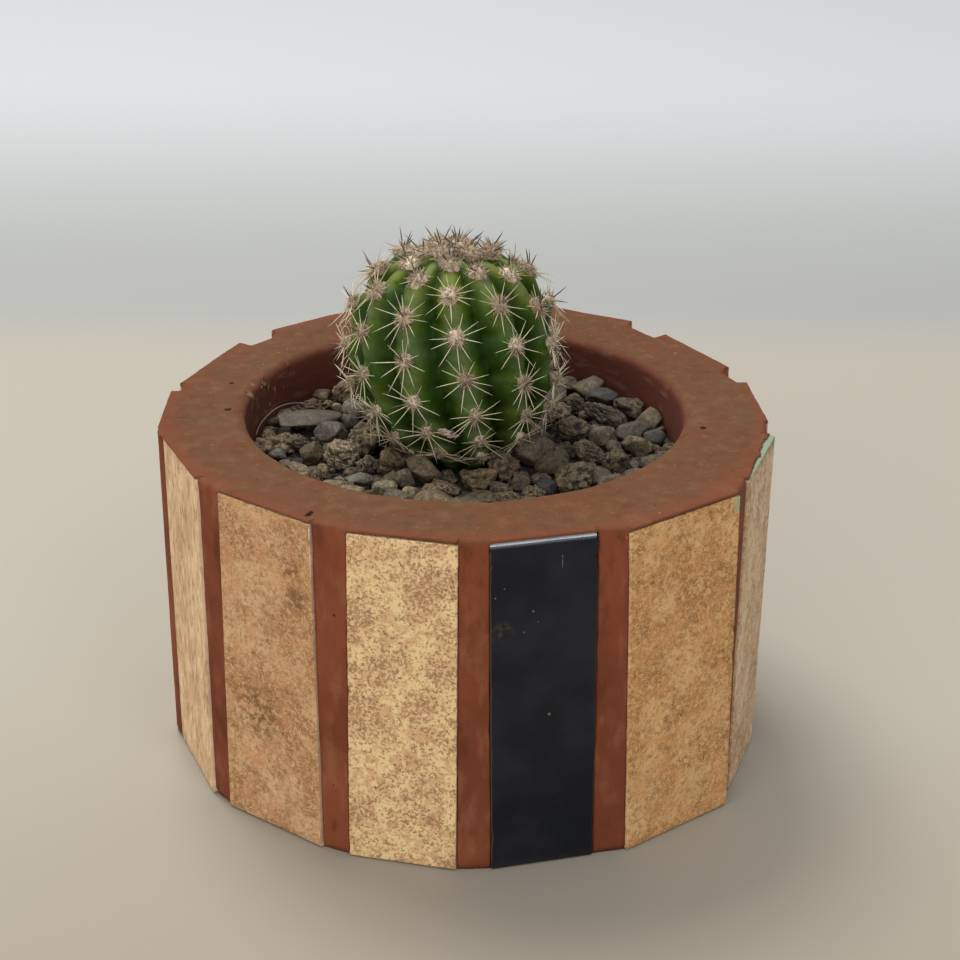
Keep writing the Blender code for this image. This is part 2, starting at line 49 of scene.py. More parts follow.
BODY = "root"
MATERIAL_SLOT = {row["node"]: row["material_slot"] for row in frame["record"]["subparts"]}
UP = np.array([0.0, 0.0, 1.0])
LEVEL = np.array([1.0, 1.0, 0.0])
MM_PER_M = 1000.0

# Whole numbers that turn a cell's three steps into a steady random value, and the shift between seeds
CELL_FACTORS = (73856093, 19349663, 83492791)
CELL_MIX = 1274126177
LUMP_SHIFT = 57.31
SEED_STEP = 3.7

# Camera, worked out from the corners of the six tiles that the photograph shows
CAMERA_TARGET = Vector((0.001874, 0.0, 0.0470))
CAMERA_DISTANCE = 0.36734
CAMERA_ELEVATION = 24.92
CAMERA_ROLL = 0.42
CAMERA_LENS = 75.41
CAMERA_SENSOR = 36.0

# Pot, as in the CAD part
POT_HEIGHT = 0.0620
POT_FLOOR = 0.0080
CAVITY_CENTRE = np.array([-0.0010, 0.0, 0.0])
CAVITY_RADIUS = 0.0390
CAVITY_DRAFT = 0.0015
RIM_ROUNDING = 0.0018
FLOOR_ROUNDING = 0.0030
BASE_CHAMFER = 0.0005

# Pot's surface
UNDERSIDE_SHARES = (0.25, 0.6, 0.9)
FLAT_COLUMNS = 30
STRIP_COLUMNS = 15
WALL_ROWS = 50
RIM_ROWS = 26
POCKET_DEPTH = 0.0048
POCKET_GAP = (0.00003, 0.00016)
LEDGE_GAP = 0.00010
GLAZED_LEDGE_GAP = 0.00035
LIP_ROUNDING = 0.0004
LIP_SIDE_INSET = 0.00025
STRIP_ROUNDING = 0.0010
STRIP_RECESS = (0.0002, 0.0004)
FRONT_NOTCH = (0.0000, 0.0002)
NOTCH_HEIGHT = 0.0020
NOTCH_SIDE = 0.0010
NOTCH_DROP = 0.35

# How deep the rim is notched over the strip that follows each back tile, at the strip's two ends
BACK_NOTCHES = {
    6: (0.0000, 0.0001),
    7: (0.0007, 0.0015),
    8: (0.0014, 0.0012),
    9: (0.0010, 0.0012),
    10: (0.0012, 0.0009),
    11: (0.0015, 0.0011),
    12: (0.0003, 0.0012),
    13: (0.0000, 0.0000),
}

# How far the concrete over a tile stands out past the tile's face, at the tile's left and right ends
LIP_REACH = {1: (0.0006, 0.0001), 6: (-0.0001, -0.0012)}
LIP_REACH_JAG = 0.75

ARC_ROWS = 6
LEDGE_DEPTHS = (0.0032, 0.0020, 0.0003)
LEDGE_LEAD = 0.00015
MOST_PROUD = -0.0007
STRIP_SEED = 17
LAST_STRIP_RECESS = -0.0001
RIM_FLATTENING = 5
INNER_EDGE_ROWS = 7
SHOWN_CAVITY_ROWS = 16
SHOWN_CAVITY_END = 0.0502
HIDDEN_CAVITY_ROWS = 6
FLOOR_EDGE_ROWS = 4
FLOOR_MIDDLE_RADIUS = 0.0120
SURFACE_SINK = 0.00010
CRUMB_DEPTH = 0.00065

# The part of the rim's inner edge that has crumbled most
CRUMBLY_PLACE = (-0.0395, 0.0135, 0.0620)
CRUMBLY_REACH = 0.0160

# Blowholes in the casting that the photograph shows: place, radius and depth
PITS = (
    ((-0.0256, -0.0459, 0.0619), 0.00042, 0.0006),
    ((-0.0253, -0.0453, 0.0619), 0.00046, 0.0006),
    ((-0.0250, -0.0447, 0.0619), 0.00040, 0.0006),
    ((0.0237, -0.0493, 0.0603), 0.00036, 0.0004),
    ((-0.0432, -0.0026, 0.0620), 0.00070, 0.0005),
    ((-0.0439, 0.0095, 0.0620), 0.00050, 0.0003),
    ((0.0409, -0.0096, 0.0620), 0.00060, 0.0004),
    ((-0.0216, -0.0497, 0.0458), 0.00036, 0.0003),
    ((-0.0224, -0.0494, 0.0132), 0.00036, 0.0003),
    ((-0.0437, -0.0327, 0.0598), 0.00032, 0.0003),
)

# Hairline cracks and scratches that the photograph shows: two ends, half width and colour
DARK_MARK = (0.020, 0.006, 0.004)
PALE_MARK = (0.480, 0.320, 0.240)
MARKS = (
    ((-0.0547, -0.0070, 0.0620), (-0.0494, -0.0066, 0.0620), 0.00020, DARK_MARK),
    ((0.0478, -0.0090, 0.0620), (0.0496, -0.0090, 0.0620), 0.00018, DARK_MARK),
    ((-0.0461, -0.0313, 0.0616), (-0.0436, -0.0315, 0.0620), 0.00016, DARK_MARK),
    ((-0.0006, -0.0544, 0.0367), (0.0028, -0.0543, 0.0363), 0.00014, DARK_MARK),
    ((-0.0438, -0.0324, 0.0590), (-0.0433, -0.0331, 0.0569), 0.00024, PALE_MARK),
    ((-0.0433, -0.0331, 0.0569), (-0.0422, -0.0344, 0.0553), 0.00024, PALE_MARK),
)

# Tiles
TILE_COUNT = sum(node.startswith("tile_") for node in MATERIAL_SLOT)
TILE_THICKNESS = 0.0045
TILE_CELLS = (18, 6, 56)
TILE_ROUNDING = 0.00018
GLAZED_ROUNDING = 0.0011
TILE_BITE = 0.00012
SIDE_CHIP = 0.0003
TOP_CHIP = 0.0002
BITE_STRETCH = 220.0
TILE_WAVINESS = 0.00003

# Gravel
BED_TOP = 0.0522
BED_LOW = 0.0463
GRAVEL_SEED = 5

# Cactus, as in the CAD part
PLANT_CENTRE = np.array([-0.0034, 0.0025, 0.0])
PLANT_LEAN = 0.0016
BODY_RADIUS = 0.0183
WAIST_HEIGHT = 0.0700
CROWN_RISE = 0.0193
CROWN_POWER = 2.6
LOWER_DROP = 0.0226
LOWER_POWER = 1.6
NECK_TURN = -57.0
NECK_END_RADIUS = 0.0040
NECK_END_HEIGHT = 0.0390
NECK_TIP_HEIGHT = 0.0380
RIB_COUNT = 11
RIB_DEPTH = 0.0021
FULL_RIB_RADIUS = 0.0140
RIB_AZIMUTHS = (10.0, 42.5, 72.5, 107.7, 142.9, 178.1, 213.3, 248.5, 283.7, 308.2, 339.5)
RIB_TWIST = 620.0
AREOLE_STEP_SHIFT = 4.0 / RIB_COUNT
AREOLE_MIDDLE = 0.0278
AREOLE_STEP = 0.0072
AREOLE_CROWDING_HIGH = -0.00010
AREOLE_CROWDING_LOW = 0.00022
CHIN_HEIGHT = 0.0006
CHIN_BELOW = 0.0010
CHIN_REACH = 0.0030

# Cactus's surface
SKIN_COLUMNS_PER_RIB = 30
SKIN_ROWS = 160
NECK_ROWS = 6
AREOLE_STEPS = range(-3, 5)
STEPS_IN_REACH = (-6, 9)
NOTCH_ABOVE = 0.0019
NOTCH_REACH = 0.0011
NEAREST_AREOLE = 0.0006
LOWEST_AREOLE = 0.0548
SPINE_FLOOR = 0.0560
PLANT_SEED = 23
FOOT_FROM_CROWN = 60.0

# Wool and spines of the areoles
AREOLE_PROBE = 0.0004
WOOL_RADIUS = (0.00092, 0.00205)
WOOL_LARGEST = 0.00185
WOOL_SHAPE = np.array([0.92, 1.08, 0.80])
WOOL_HAIRS = (85, 235)
FINE_WOOL_FROM = 0.62
WOOL_HAIR_LENGTH = (0.0005, 0.0011)
WOOL_HAIR_RADII = 0.000055 * np.array([1.0, 0.8, 0.3])
WOOL_HAIR_SHARES = np.array([0.0, 0.55, 1.0])
WOOL_HAIR_SIDES = 3
CROWN_LIFT = 0.0009
SPINE_RADII = 0.00010 * np.array([1.0, 0.85, 0.60, 0.12])
SPINE_SHARES = np.array([0.0, 0.4, 0.75, 1.0])
SPINE_SIDES = 5
SPINE_ROOT = 0.0004

# Spines of young areoles near the crown and of grown ones: how many, their rise in degrees, length and darkness
YOUNG_REACH = 0.0120
OLD_FROM = 0.0180
SPINE_SCATTER = 11.0
YOUNG_COUNT = (6, 9)
GROWN_COUNT = (10, 14)
YOUNG_RISE = (12.0, 55.0)
GROWN_RISE = (6.0, 24.0)
YOUNG_LENGTH = (0.0030, 0.0043)
GROWN_LENGTH = (0.0046, 0.0058)
GROWN_SPREAD = (0.82, 1.12)
YOUNG_DARKNESS = (0.35, 0.75)
GROWN_DARKNESS = (0.05, 0.4)
OLD_DARKNESS = (0.0, 0.12)
YOUNG_THICKNESS = 1.25
CENTRAL_CROWDED_TO = 0.0200
YOUNG_CENTRAL_LENGTH = (0.0032, 0.0044)
CENTRAL_LENGTH = (0.0032, 0.0046)
CENTRAL_TILT = (0.3, 1.3)
CENTRAL_DARKNESS = (0.9, 1.0)
CENTRAL_THICKNESS = 1.6

# Loose things
SCRAP_PLACE = (-0.0039, -0.0136, 0.0622)
SCRAP_SIZE = (0.0017, 0.00050, 0.00055)
SCRAP_SLOPE = 0.22
FIBRE_RADIUS = 0.00008
FIBRE_STEPS = 40
FIBRE_SMOOTHINGS = 6
FIBRE_SIDES = 6


# Numbers and noise


def mix(start, end, share):
    return start + (end - start) * share


def smoothstep(low, high, value):
    share = np.clip((value - low) / (high - low), 0.0, 1.0)
    return share * share * (3.0 - 2.0 * share)


def unit(vectors):
    vectors = np.asarray(vectors, dtype=float)
    return vectors / np.maximum(np.linalg.norm(vectors, axis=-1, keepdims=True), 1e-12)


def outward(azimuth):
    """Level direction at an azimuth in degrees, from -Y towards +X."""
    angle = np.radians(azimuth)
    return np.stack((np.sin(angle), -np.cos(angle), np.zeros_like(angle)), axis=-1)


def cell_values(cells):
    """A steady random number from -1 to 1 for each whole-number cell."""
    whole = (cells.astype(np.int64) & 0xFFFFF).astype(np.uint64)
    mixed = np.bitwise_xor.reduce(whole * np.array(CELL_FACTORS, dtype=np.uint64), axis=-1)
    mixed = ((mixed ^ (mixed >> np.uint64(13))) * np.uint64(CELL_MIX)) & np.uint64(0xFFFFFFFF)
    mixed ^= mixed >> np.uint64(15)
    return (mixed & np.uint64(0xFFFF)).astype(float) / 32767.5 - 1.0


def lumps(points, size, seed=0):
    """Smooth random heights from -1 to 1, in lumps of about the given size."""
    cells = np.asarray(points) / size + LUMP_SHIFT * seed
    base = np.floor(cells)
    share = cells - base
    share = share * share * (3.0 - 2.0 * share)
    total = 0.0
    for corner in itertools.product((0, 1), repeat=3):
        weight = np.prod(np.where(corner, share, 1.0 - share), axis=-1)
        total = total + weight * cell_values(base + corner)
    return total


def rough(points, size, seed=0, octaves=3):
    """Lumps with finer ones on them, each half as wide and half as high."""
    return sum(lumps(points, size / 2**i, seed + i) / 2**i for i in range(octaves))


# Meshes


def add_mesh(name, points, faces, material, attributes=None):
    """A smooth-shaded mesh object, with one number for each point in every attribute."""
    mesh = bpy.data.meshes.new(name)
    mesh.from_pydata(np.asarray(points, dtype=float).reshape(-1, 3).tolist(), [], faces)
    mesh.shade_smooth()
    for key, values in (attributes or {}).items():
        values = np.asarray(values, dtype=np.float32)
        if values.ndim == 2 and values.shape[1] == 3:
            colours = np.concatenate((values, np.ones((len(values), 1), np.float32)), axis=1)
            mesh.attributes.new(key, "FLOAT_COLOR", "POINT").data.foreach_set("color", colours.ravel())
        else:
            mesh.attributes.new(key, "FLOAT", "POINT").data.foreach_set("value", values.ravel())
    mesh.materials.append(material)
    obj = bpy.data.objects.new(name, mesh)
    bpy.context.scene.collection.objects.link(obj)
    return obj


def put(piece, slot, *nodes):
    """Fixes a piece to the part, in the place of the CAD nodes that it stands for."""
    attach(piece, BODY)
    if nodes:
        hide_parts(*nodes)


def ring_faces(rows, columns, closed_rows=False):
    """Quads between rings of points. Closed rows join the last ring to the first."""
    index = np.arange(rows * columns).reshape(rows, columns)
    following = np.roll(index, -1, axis=1)
    if closed_rows:
        above, following_above = np.roll(index, -1, axis=0), np.roll(following, -1, axis=0)
    else:
        above, following_above = index[1:], following[1:]
        index, following = index[:-1], following[:-1]
    return np.stack((index, following, following_above, above), axis=-1).reshape(-1, 4).tolist()


def fan_faces(ring, tip, flipped=False):
    """Triangles from a ring of point numbers to one tip."""
    following = ring[1:] + ring[:1]
    return [[b, a, tip] if flipped else [a, b, tip] for a, b in zip(ring, following)]


def capped_grid(rows, low_tip, high_tip):
    """Points and faces of rings of points, (row, column, 3), closed by a tip at each end."""
    count, columns = rows.shape[:2]
    points = np.concatenate((rows.reshape(-1, 3), [low_tip, high_tip]))
    faces = ring_faces(count, columns)
    first = list(range(columns))
    last = list(range((count - 1) * columns, count * columns))
    faces += fan_faces(first, count * columns, flipped=True)
    faces += fan_faces(last, count * columns + 1)
    return points, faces


def point_normals(obj):
    normals = np.empty(len(obj.data.vertices) * 3, dtype=np.float32)
    obj.data.vertices.foreach_get("normal", normals)
    return normals.reshape(-1, 3)


def move_points(obj, points):
    obj.data.vertices.foreach_set("co", np.asarray(points, dtype=np.float32).ravel())
    obj.data.update()


def strands(paths, radii, sides):
    """Closed tapered strands. paths is (strand, step, 3), and radii is (strand, step)."""
    count, steps = radii.shape
    along = unit(paths[:, -1] - paths[:, 0])
    helper = np.where(np.abs(along[:, 2:]) < 0.9, UP, np.array([1.0, 0.0, 0.0]))
    first = unit(np.cross(along, helper))
    second = np.cross(along, first)
    angles = np.arange(sides) * math.tau / sides
    ring = np.cos(angles)[:, None] * first[:, None] + np.sin(angles)[:, None] * second[:, None]
    points = paths[:, :, None] + radii[:, :, None, None] * ring[:, None]
    index = np.arange(count * steps * sides).reshape(count, steps, sides)
    following = np.roll(index, -1, axis=2)
    quads = np.stack((index[:, :-1], following[:, :-1], following[:, 1:], index[:, 1:]), axis=-1)
    caps = np.concatenate((index[:, 0, ::-1], index[:, -1]))
    return points.reshape(-1, 3), quads.reshape(-1, 4).tolist() + caps.tolist()


def ball(subdivisions):
    """Points and triangles of a unit ball."""
    bm = bmesh.new()
    bmesh.ops.create_icosphere(bm, subdivisions=subdivisions, radius=1.0)
    points = np.array([vert.co for vert in bm.verts])
    faces = np.array([[vert.index for vert in face.verts] for face in bm.faces])
    bm.free()
    return points, faces


BALLS = {subdivisions: ball(subdivisions) for subdivisions in (3, 4, 5)}


class Heap:
    """Meshes gathered into one, with their attributes."""

    def __init__(self):
        self.points = []
        self.faces = []
        self.attributes = {}
        self.count = 0

    def add(self, points, faces, **attributes):
        self.points.append(points)
        self.faces += (np.asarray(faces) + self.count).tolist()
        self.count += len(points)
        for key, values in attributes.items():
            values = np.asarray(values, dtype=float)
            if values.ndim == 0 or (values.ndim == 1 and values.shape == (3,) and len(points) != 3):
                values = np.broadcast_to(values, (len(points), *values.shape))
            self.attributes.setdefault(key, []).append(values)

    def make(self, name, material):
        attributes = {key: np.concatenate(values) for key, values in self.attributes.items()}
        return add_mesh(name, np.concatenate(self.points), self.faces, material, attributes)


# Materials


class Nodes:
    """A material's node tree, built up call by call, with its colour laid on in layers."""

    def __init__(self, name, roughness, **shader_values):
        self.material = bpy.data.materials.new(name)
        self.material.use_nodes = True
        self.tree = self.material.node_tree
        self.shader = self.tree.nodes["Principled BSDF"]
        self.shader.inputs["Roughness"].default_value = roughness
        for key, value in shader_values.items():
            self.shader.inputs[key.replace("_", " ")].default_value = value
        self.place = self.node("ShaderNodeTexCoord").outputs["Object"]
        self.base = None

    def node(self, kind, inputs=None, **settings):
        made = self.tree.nodes.new(kind)
        for key, value in settings.items():
            setattr(made, key, value)
        for key, value in (inputs or {}).items():
            self.feed(made.inputs[key], value)
        return made

    def feed(self, socket, value):
        if isinstance(value, bpy.types.NodeSocket):
            self.tree.links.new(value, socket)
        elif socket.type == "RGBA" and len(value) == 3:
            socket.default_value = (*value, 1.0)
        else:
            socket.default_value = value

    def stretched(self, scale):
        return self.node("ShaderNodeMapping", {"Vector": self.place, "Scale": scale}).outputs["Vector"]

    def noise(self, size, seed=0.0, detail=3.0, roughness=0.55, distortion=0.0, place=None):
        """Noise from 0 to 1 whose lumps are about the given size."""
        inputs = {
            "Vector": place or self.place,
            "W": SEED_STEP * seed,
            "Scale": 1.0 / size,
            "Detail": detail,
            "Roughness": roughness,
            "Distortion": distortion,
        }
        return self.node("ShaderNodeTexNoise", inputs, noise_dimensions="4D").outputs["Fac"]

    def cells(self, size, seed):
        """Distance to the nearest of scattered spots, as a share of their usual spacing."""
        inputs = {"Vector": self.place, "W": SEED_STEP * seed, "Scale": 1.0 / size}
        return self.node("ShaderNodeTexVoronoi", inputs, voronoi_dimensions="4D").outputs["Distance"]

    def curls(self, size, seed, width=0.030):
        """Thin curly threads, 1 along their middles."""
        twisted = self.noise(size, seed, roughness=0.6, distortion=1.4)
        from_middle = self.math("ABSOLUTE", self.math("SUBTRACT", twisted, 0.5))
        return self.remap(from_middle, width, 0.0)

    def remap(self, value, low, high, to_low=0.0, to_high=1.0, smooth=True):
        inputs = {"Value": value, "From Min": low, "From Max": high, "To Min": to_low, "To Max": to_high}
        kind = "SMOOTHSTEP" if smooth else "LINEAR"
        return self.node("ShaderNodeMapRange", inputs, interpolation_type=kind).outputs["Result"]

    def math(self, operation, first, second=0.0):
        return self.node("ShaderNodeMath", {0: first, 1: second}, operation=operation).outputs["Value"]

    def times(self, first, second):
        return self.math("MULTIPLY", first, second)

    def vector(self, operation, inputs, output="Value"):
        return self.node("ShaderNodeVectorMath", inputs, operation=operation).outputs[output]

    def attribute(self, name, output="Fac"):
        return self.node("ShaderNodeAttribute", attribute_name=name).outputs[output]

    def near(self, spot, radius, softness=0.4):
        """1 within a radius of a spot, falling to 0 at its edge."""
        distance = self.vector("DISTANCE", {0: self.place, 1: spot})
        return self.remap(distance, radius * (1.0 - softness), radius, 1.0, 0.0)

    def near_line(self, start, end, width):
        """1 on the line between two spots, ragged, falling to 0 at about a width from it."""
        reach = np.array(end) - np.array(start)
        along = (reach / np.sum(reach**2)).tolist()
        from_start = self.vector("SUBTRACT", {0: self.place, 1: start}, "Vector")
        share = self.remap(self.vector("DOT_PRODUCT", {0: from_start, 1: along}), 0.0, 1.0, smooth=False)
        nearest = self.vector("SCALE", {0: reach.tolist(), "Scale": share}, "Vector")
        distance = self.vector("DISTANCE", {0: from_start, 1: nearest})
        ragged = self.times(self.noise(width * 3.0, 55.0, detail=2.0), width * 2.0)
        return self.remap(self.math("ADD", distance, ragged), width * 2.0, width * 1.2)

    def blend(self, share, first, second, kind="MIX"):
        made = self.node("ShaderNodeMix", {0: share, 6: first, 7: second}, data_type="RGBA", blend_type=kind)
        return made.outputs[2]

    def grade(self, value, low, high, first, second):
        """The first colour where a value is low, and the second where it is high."""
        return self.blend(self.remap(value, low, high), first, second)

    def lay(self, colour, value, low=None, high=None, strength=1.0):
        """Lays a colour over what is there: by a share, or as a value goes from low to high."""
        if low is not None:
            value = self.remap(value, low, high, 0.0, strength)
        elif strength != 1.0:
            value = self.times(value, strength)
        self.base = self.blend(value, self.base, colour)

    def tinted(self, colour, tint):
        return self.blend(1.0, colour, tint, "MULTIPLY")

    def stain(self, spot, size, colour):
        """Lays a blotchy patch round a spot."""
        blotches = self.remap(self.noise(0.0015, 31.0, detail=4.0, distortion=0.8), 0.45, 0.58)
        self.lay(colour, self.times(self.near(spot, size, softness=0.7), blotches), strength=0.75)

    def roughness(self, value, low, high, to_low, to_high):
        self.feed(self.shader.inputs["Roughness"], self.remap(value, low, high, to_low, to_high))

    def done(self, height=None, relief=0.0):
        """Puts the laid colour, and a bump if there is one, on the material."""
        self.feed(self.shader.inputs["Base Color"], self.base)
        if height is not None:
            bump = self.node("ShaderNodeBump", {"Height": height, "Distance": relief})
            self.feed(self.shader.inputs["Normal"], bump.outputs["Normal"])
        return self.material


# Tiles


TileFrame = namedtuple("TileFrame", "outward across face foot top foot_left foot_right top_left top_right")


def tile_name(number):
    return f"tile_{number:02d}"


def is_glazed(number):
    return MATERIAL_SLOT[tile_name(number)] == "tile_black"


def top_width(tile):
    return tile.top_right - tile.top_left


def read_tile(number):
    """Where a tile's face lies and where its sides end, read from its solid."""
    mesh = frame["nodes"][tile_name(number)].data
    points = np.array([vert.co for vert in mesh.vertices])
    centre = Vector(points.mean(axis=0))
    front = max(mesh.polygons, key=lambda face: face.area * (face.normal.dot(centre) > 0.02))
    normal = unit([front.normal.x, front.normal.y, 0.0])
    across = np.cross(UP, normal)
    sideways = points @ across
    foot, top = points[:, 2].min(), points[:, 2].max()
    low = sideways[points[:, 2] < foot + 0.0005]
    high = sideways[points[:, 2] > top - 0.0005]
    face = (points @ normal).max()
    return TileFrame(normal, across, face, foot, top, low.min(), low.max(), high.min(), high.max())


TILES = [read_tile(number) for number in range(1, TILE_COUNT + 1)]


def side_reach(tile, side, heights):
    """How far along its face a tile's left (-1) or right (+1) side lies, at each height."""
    low, high = (tile.foot_left, tile.top_left) if side < 0 else (tile.foot_right, tile.top_right)
    return mix(low, high, (heights - tile.foot) / (tile.top - tile.foot))


def spaced(low, high, count, rounding):
    """Steps from low to high with short ones at both ends, for a rounded edge."""
    ends = np.array([0.0, 0.4 * rounding])
    middle = np.linspace(low + rounding, high - rounding, count - 3)
    return np.concatenate((low + ends, middle, high - ends[::-1]))


def box_lattice(counts):
    """A closed box of cells: each corner's steps along the three axes, and the quads."""
    index = {}
    quads = []
    for axis in range(3):
        first, second = (axis + 1) % 3, (axis + 2) % 3
        for side in (0, counts[axis]):
            for i, j in itertools.product(range(counts[first]), range(counts[second])):
                quad = []
                for di, dj in ((0, 0), (1, 0), (1, 1), (0, 1)):
                    steps = [0, 0, 0]
                    steps[axis] = side
                    steps[first] = i + di
                    steps[second] = j + dj
                    quad.append(index.setdefault(tuple(steps), len(index)))
                quads.append(quad if side else quad[::-1])
    return np.array(list(index)), quads


TILE_LATTICE = box_lattice(TILE_CELLS)


def rounded(coordinates, lows, highs, radius):
    """Points of a box with its edges and corners rounded."""
    core = np.clip(coordinates, np.asarray(lows) + radius, np.asarray(highs) - radius)
    reach = coordinates - core
    length = np.linalg.norm(reach, axis=-1, keepdims=True)
    return core + reach * np.minimum(1.0, radius / np.maximum(length, 1e-9))


def tile_box(tile, glazed):
    """A tile's box with worn edges: each point's places across, behind and up its face."""
    steps, _ = TILE_LATTICE
    width = top_width(tile)
    across = spaced(-0.5, 0.5, TILE_CELLS[0] + 1, TILE_ROUNDING / width)[steps[:, 0]]
    depth = spaced(0.0, TILE_THICKNESS, TILE_CELLS[1] + 1, TILE_ROUNDING)[steps[:, 1]]
    height = spaced(tile.foot, tile.top, TILE_CELLS[2] + 1, TILE_ROUNDING)
    if glazed:
        crowded = np.linspace(0.0, 1.0, TILE_CELLS[2] + 1)
        height = tile.foot + (tile.top - tile.foot) * (1.0 - (1.0 - crowded) ** 2)
    box = np.stack((across * width, depth, height[steps[:, 2]]), axis=-1)
    lows = (-0.5 * width, 0.0, tile.foot)
    box = rounded(box, lows, (0.5 * width, TILE_THICKNESS, tile.top), TILE_ROUNDING)
    if glazed:
        corner = np.array([GLAZED_ROUNDING, tile.top - GLAZED_ROUNDING])
        reach = box[:, 1:] - corner
        outside = (reach[:, 0] < 0.0) & (reach[:, 1] > 0.0)
        length = np.linalg.norm(reach, axis=1, keepdims=True)
        pulled = corner + unit(reach) * np.minimum(length, GLAZED_ROUNDING)
        box[outside, 1:] = pulled[outside]
    return box


def bites(run, seed, chip):
    """How far a cut edge is worn away along its run in millimetres, with a few deeper chips."""
    chips = smoothstep(0.45, 0.8, lumps(run, 1.6, seed + 90))
    return TILE_BITE * (0.5 + 0.5 * rough(run, 0.9, seed)) + chip * chips


def broken_glaze(number, points, share, from_top, from_right):
    """1 where a broken edge shows the glaze: at a corner of tile 5 and along the top of tile 6."""
    jag = 1.0 + 0.35 * lumps(points * MM_PER_M, 0.7, 3)
    if number == 5:
        return smoothstep(1.15, 0.85, from_right / (0.0009 * jag) + from_top / (0.0042 * jag))
    if number == 6:
        return smoothstep(1.2, 0.8, from_top * jag**2 / (0.0002 + 0.0024 * share**3))
    return np.zeros(len(points))


def make_tile(number, tile):
    glazed = is_glazed(number)
    box = tile_box(tile, glazed)
    width = top_width(tile)
    share = box[:, 0] / width + 0.5
    side = np.sign(share - 0.5)
    from_side = np.minimum(share, 1.0 - share) * width
    front = smoothstep(0.0022, 0.0, box[:, 1])

    run = np.stack((side, box[:, 1] * BITE_STRETCH, box[:, 2] * MM_PER_M), axis=-1)
    bite = bites(run, number, SIDE_CHIP) * smoothstep(0.0008, 0.0, from_side) * front
    sideways = mix(side_reach(tile, -1, box[:, 2]), side_reach(tile, 1, box[:, 2]), share) - side * bite
    run = np.stack((box[:, 0] * MM_PER_M, np.full(len(box), 3.0), box[:, 1] * BITE_STRETCH), axis=-1)
    bite = bites(run, number + 40, TOP_CHIP) * (0.15 if glazed else 1.0)
    box[:, 2] -= bite * smoothstep(tile.top - 0.0006, tile.top, box[:, 2]) * front

    face = tile.face - box[:, 1]
    points = tile.outward * face[:, None] + tile.across * sideways[:, None] + UP * box[:, 2:]
    waves = TILE_WAVINESS * lumps(points, 0.006, number)
    points = points + tile.outward * (waves * (box[:, 1] < 0.001) - TILE_WAVINESS)[:, None]
    from_top = tile.top - box[:, 2]
    glaze = broken_glaze(number, points, share, from_top, (1.0 - share) * width)
    cut = smoothstep(0.00025, 0.0006, box[:, 1]) * (1.0 - glaze)
    attributes = {
        "side": np.maximum(smoothstep(0.00012, 0.0, from_side), cut) * np.where(share > 0.5, 0.9, 0.15),
        "glaze": glaze,
        "from_top": from_top * MM_PER_M,
    }
    slot = MATERIAL_SLOT[tile_name(number)]
    material = black_glaze(number, slot) if glazed else fired_tile(number, slot)
    piece = add_mesh(f"cut_{tile_name(number)}", points, TILE_LATTICE[1], material, attributes)
    put(piece, slot, tile_name(number))


BISQUE = (0.74, 0.55, 0.41)

# The glaze that shows at the broken corner of tile 5 and along the broken top of tile 6
GLAZE_COLOURS = {5: (0.34, 0.43, 0.25), 6: (0.225, 0.260, 0.170)}

# Ground colour, fleck colour, light fleck colour and fleck size of each fired face
CORK_FACES = {
    "tile_cork": ((0.40, 0.210, 0.083), (0.215, 0.096, 0.034), (0.72, 0.48, 0.25), 0.0010),
    "tile_grey": ((0.47, 0.30, 0.162), (0.26, 0.152, 0.082), (0.76, 0.58, 0.37), 0.0016),
}
TILE_TINTS = {2: (0.92, 0.88, 0.88), 5: (1.05, 0.98, 0.84), 8: (1.0, 0.96, 0.94), 11: (1.05, 1.0, 1.0)}

# Stains on tile 2 that the photograph shows: share of the width, height, size and colour
STAINS = (
    (0.35, 0.0225, 0.0078, (0.150, 0.064, 0.024)),
    (0.76, 0.0520, 0.0032, (0.170, 0.076, 0.030)),
    (0.82, 0.0470, 0.0032, (0.170, 0.076, 0.030)),
)

# Worn specks in the black glaze of tile 4: share of the width, height and size
SPECKS_ON_BLACK = (
    (0.552, 0.0293, 0.00032),
    (0.129, 0.0533, 0.00016),
    (0.046, 0.0518, 0.00020),
    (0.396, 0.0487, 0.00024),
    (0.442, 0.0467, 0.00014),
    (0.313, 0.0451, 0.00018),
)


def on_face(number, share, height):
    """The place on a tile's face at a share of its width, from its left side, and at a height."""
    tile = TILES[number - 1]
    sideways = mix(side_reach(tile, -1, height), side_reach(tile, 1, height), share)
    return (tile.outward * tile.face + tile.across * sideways + UP * height).tolist()


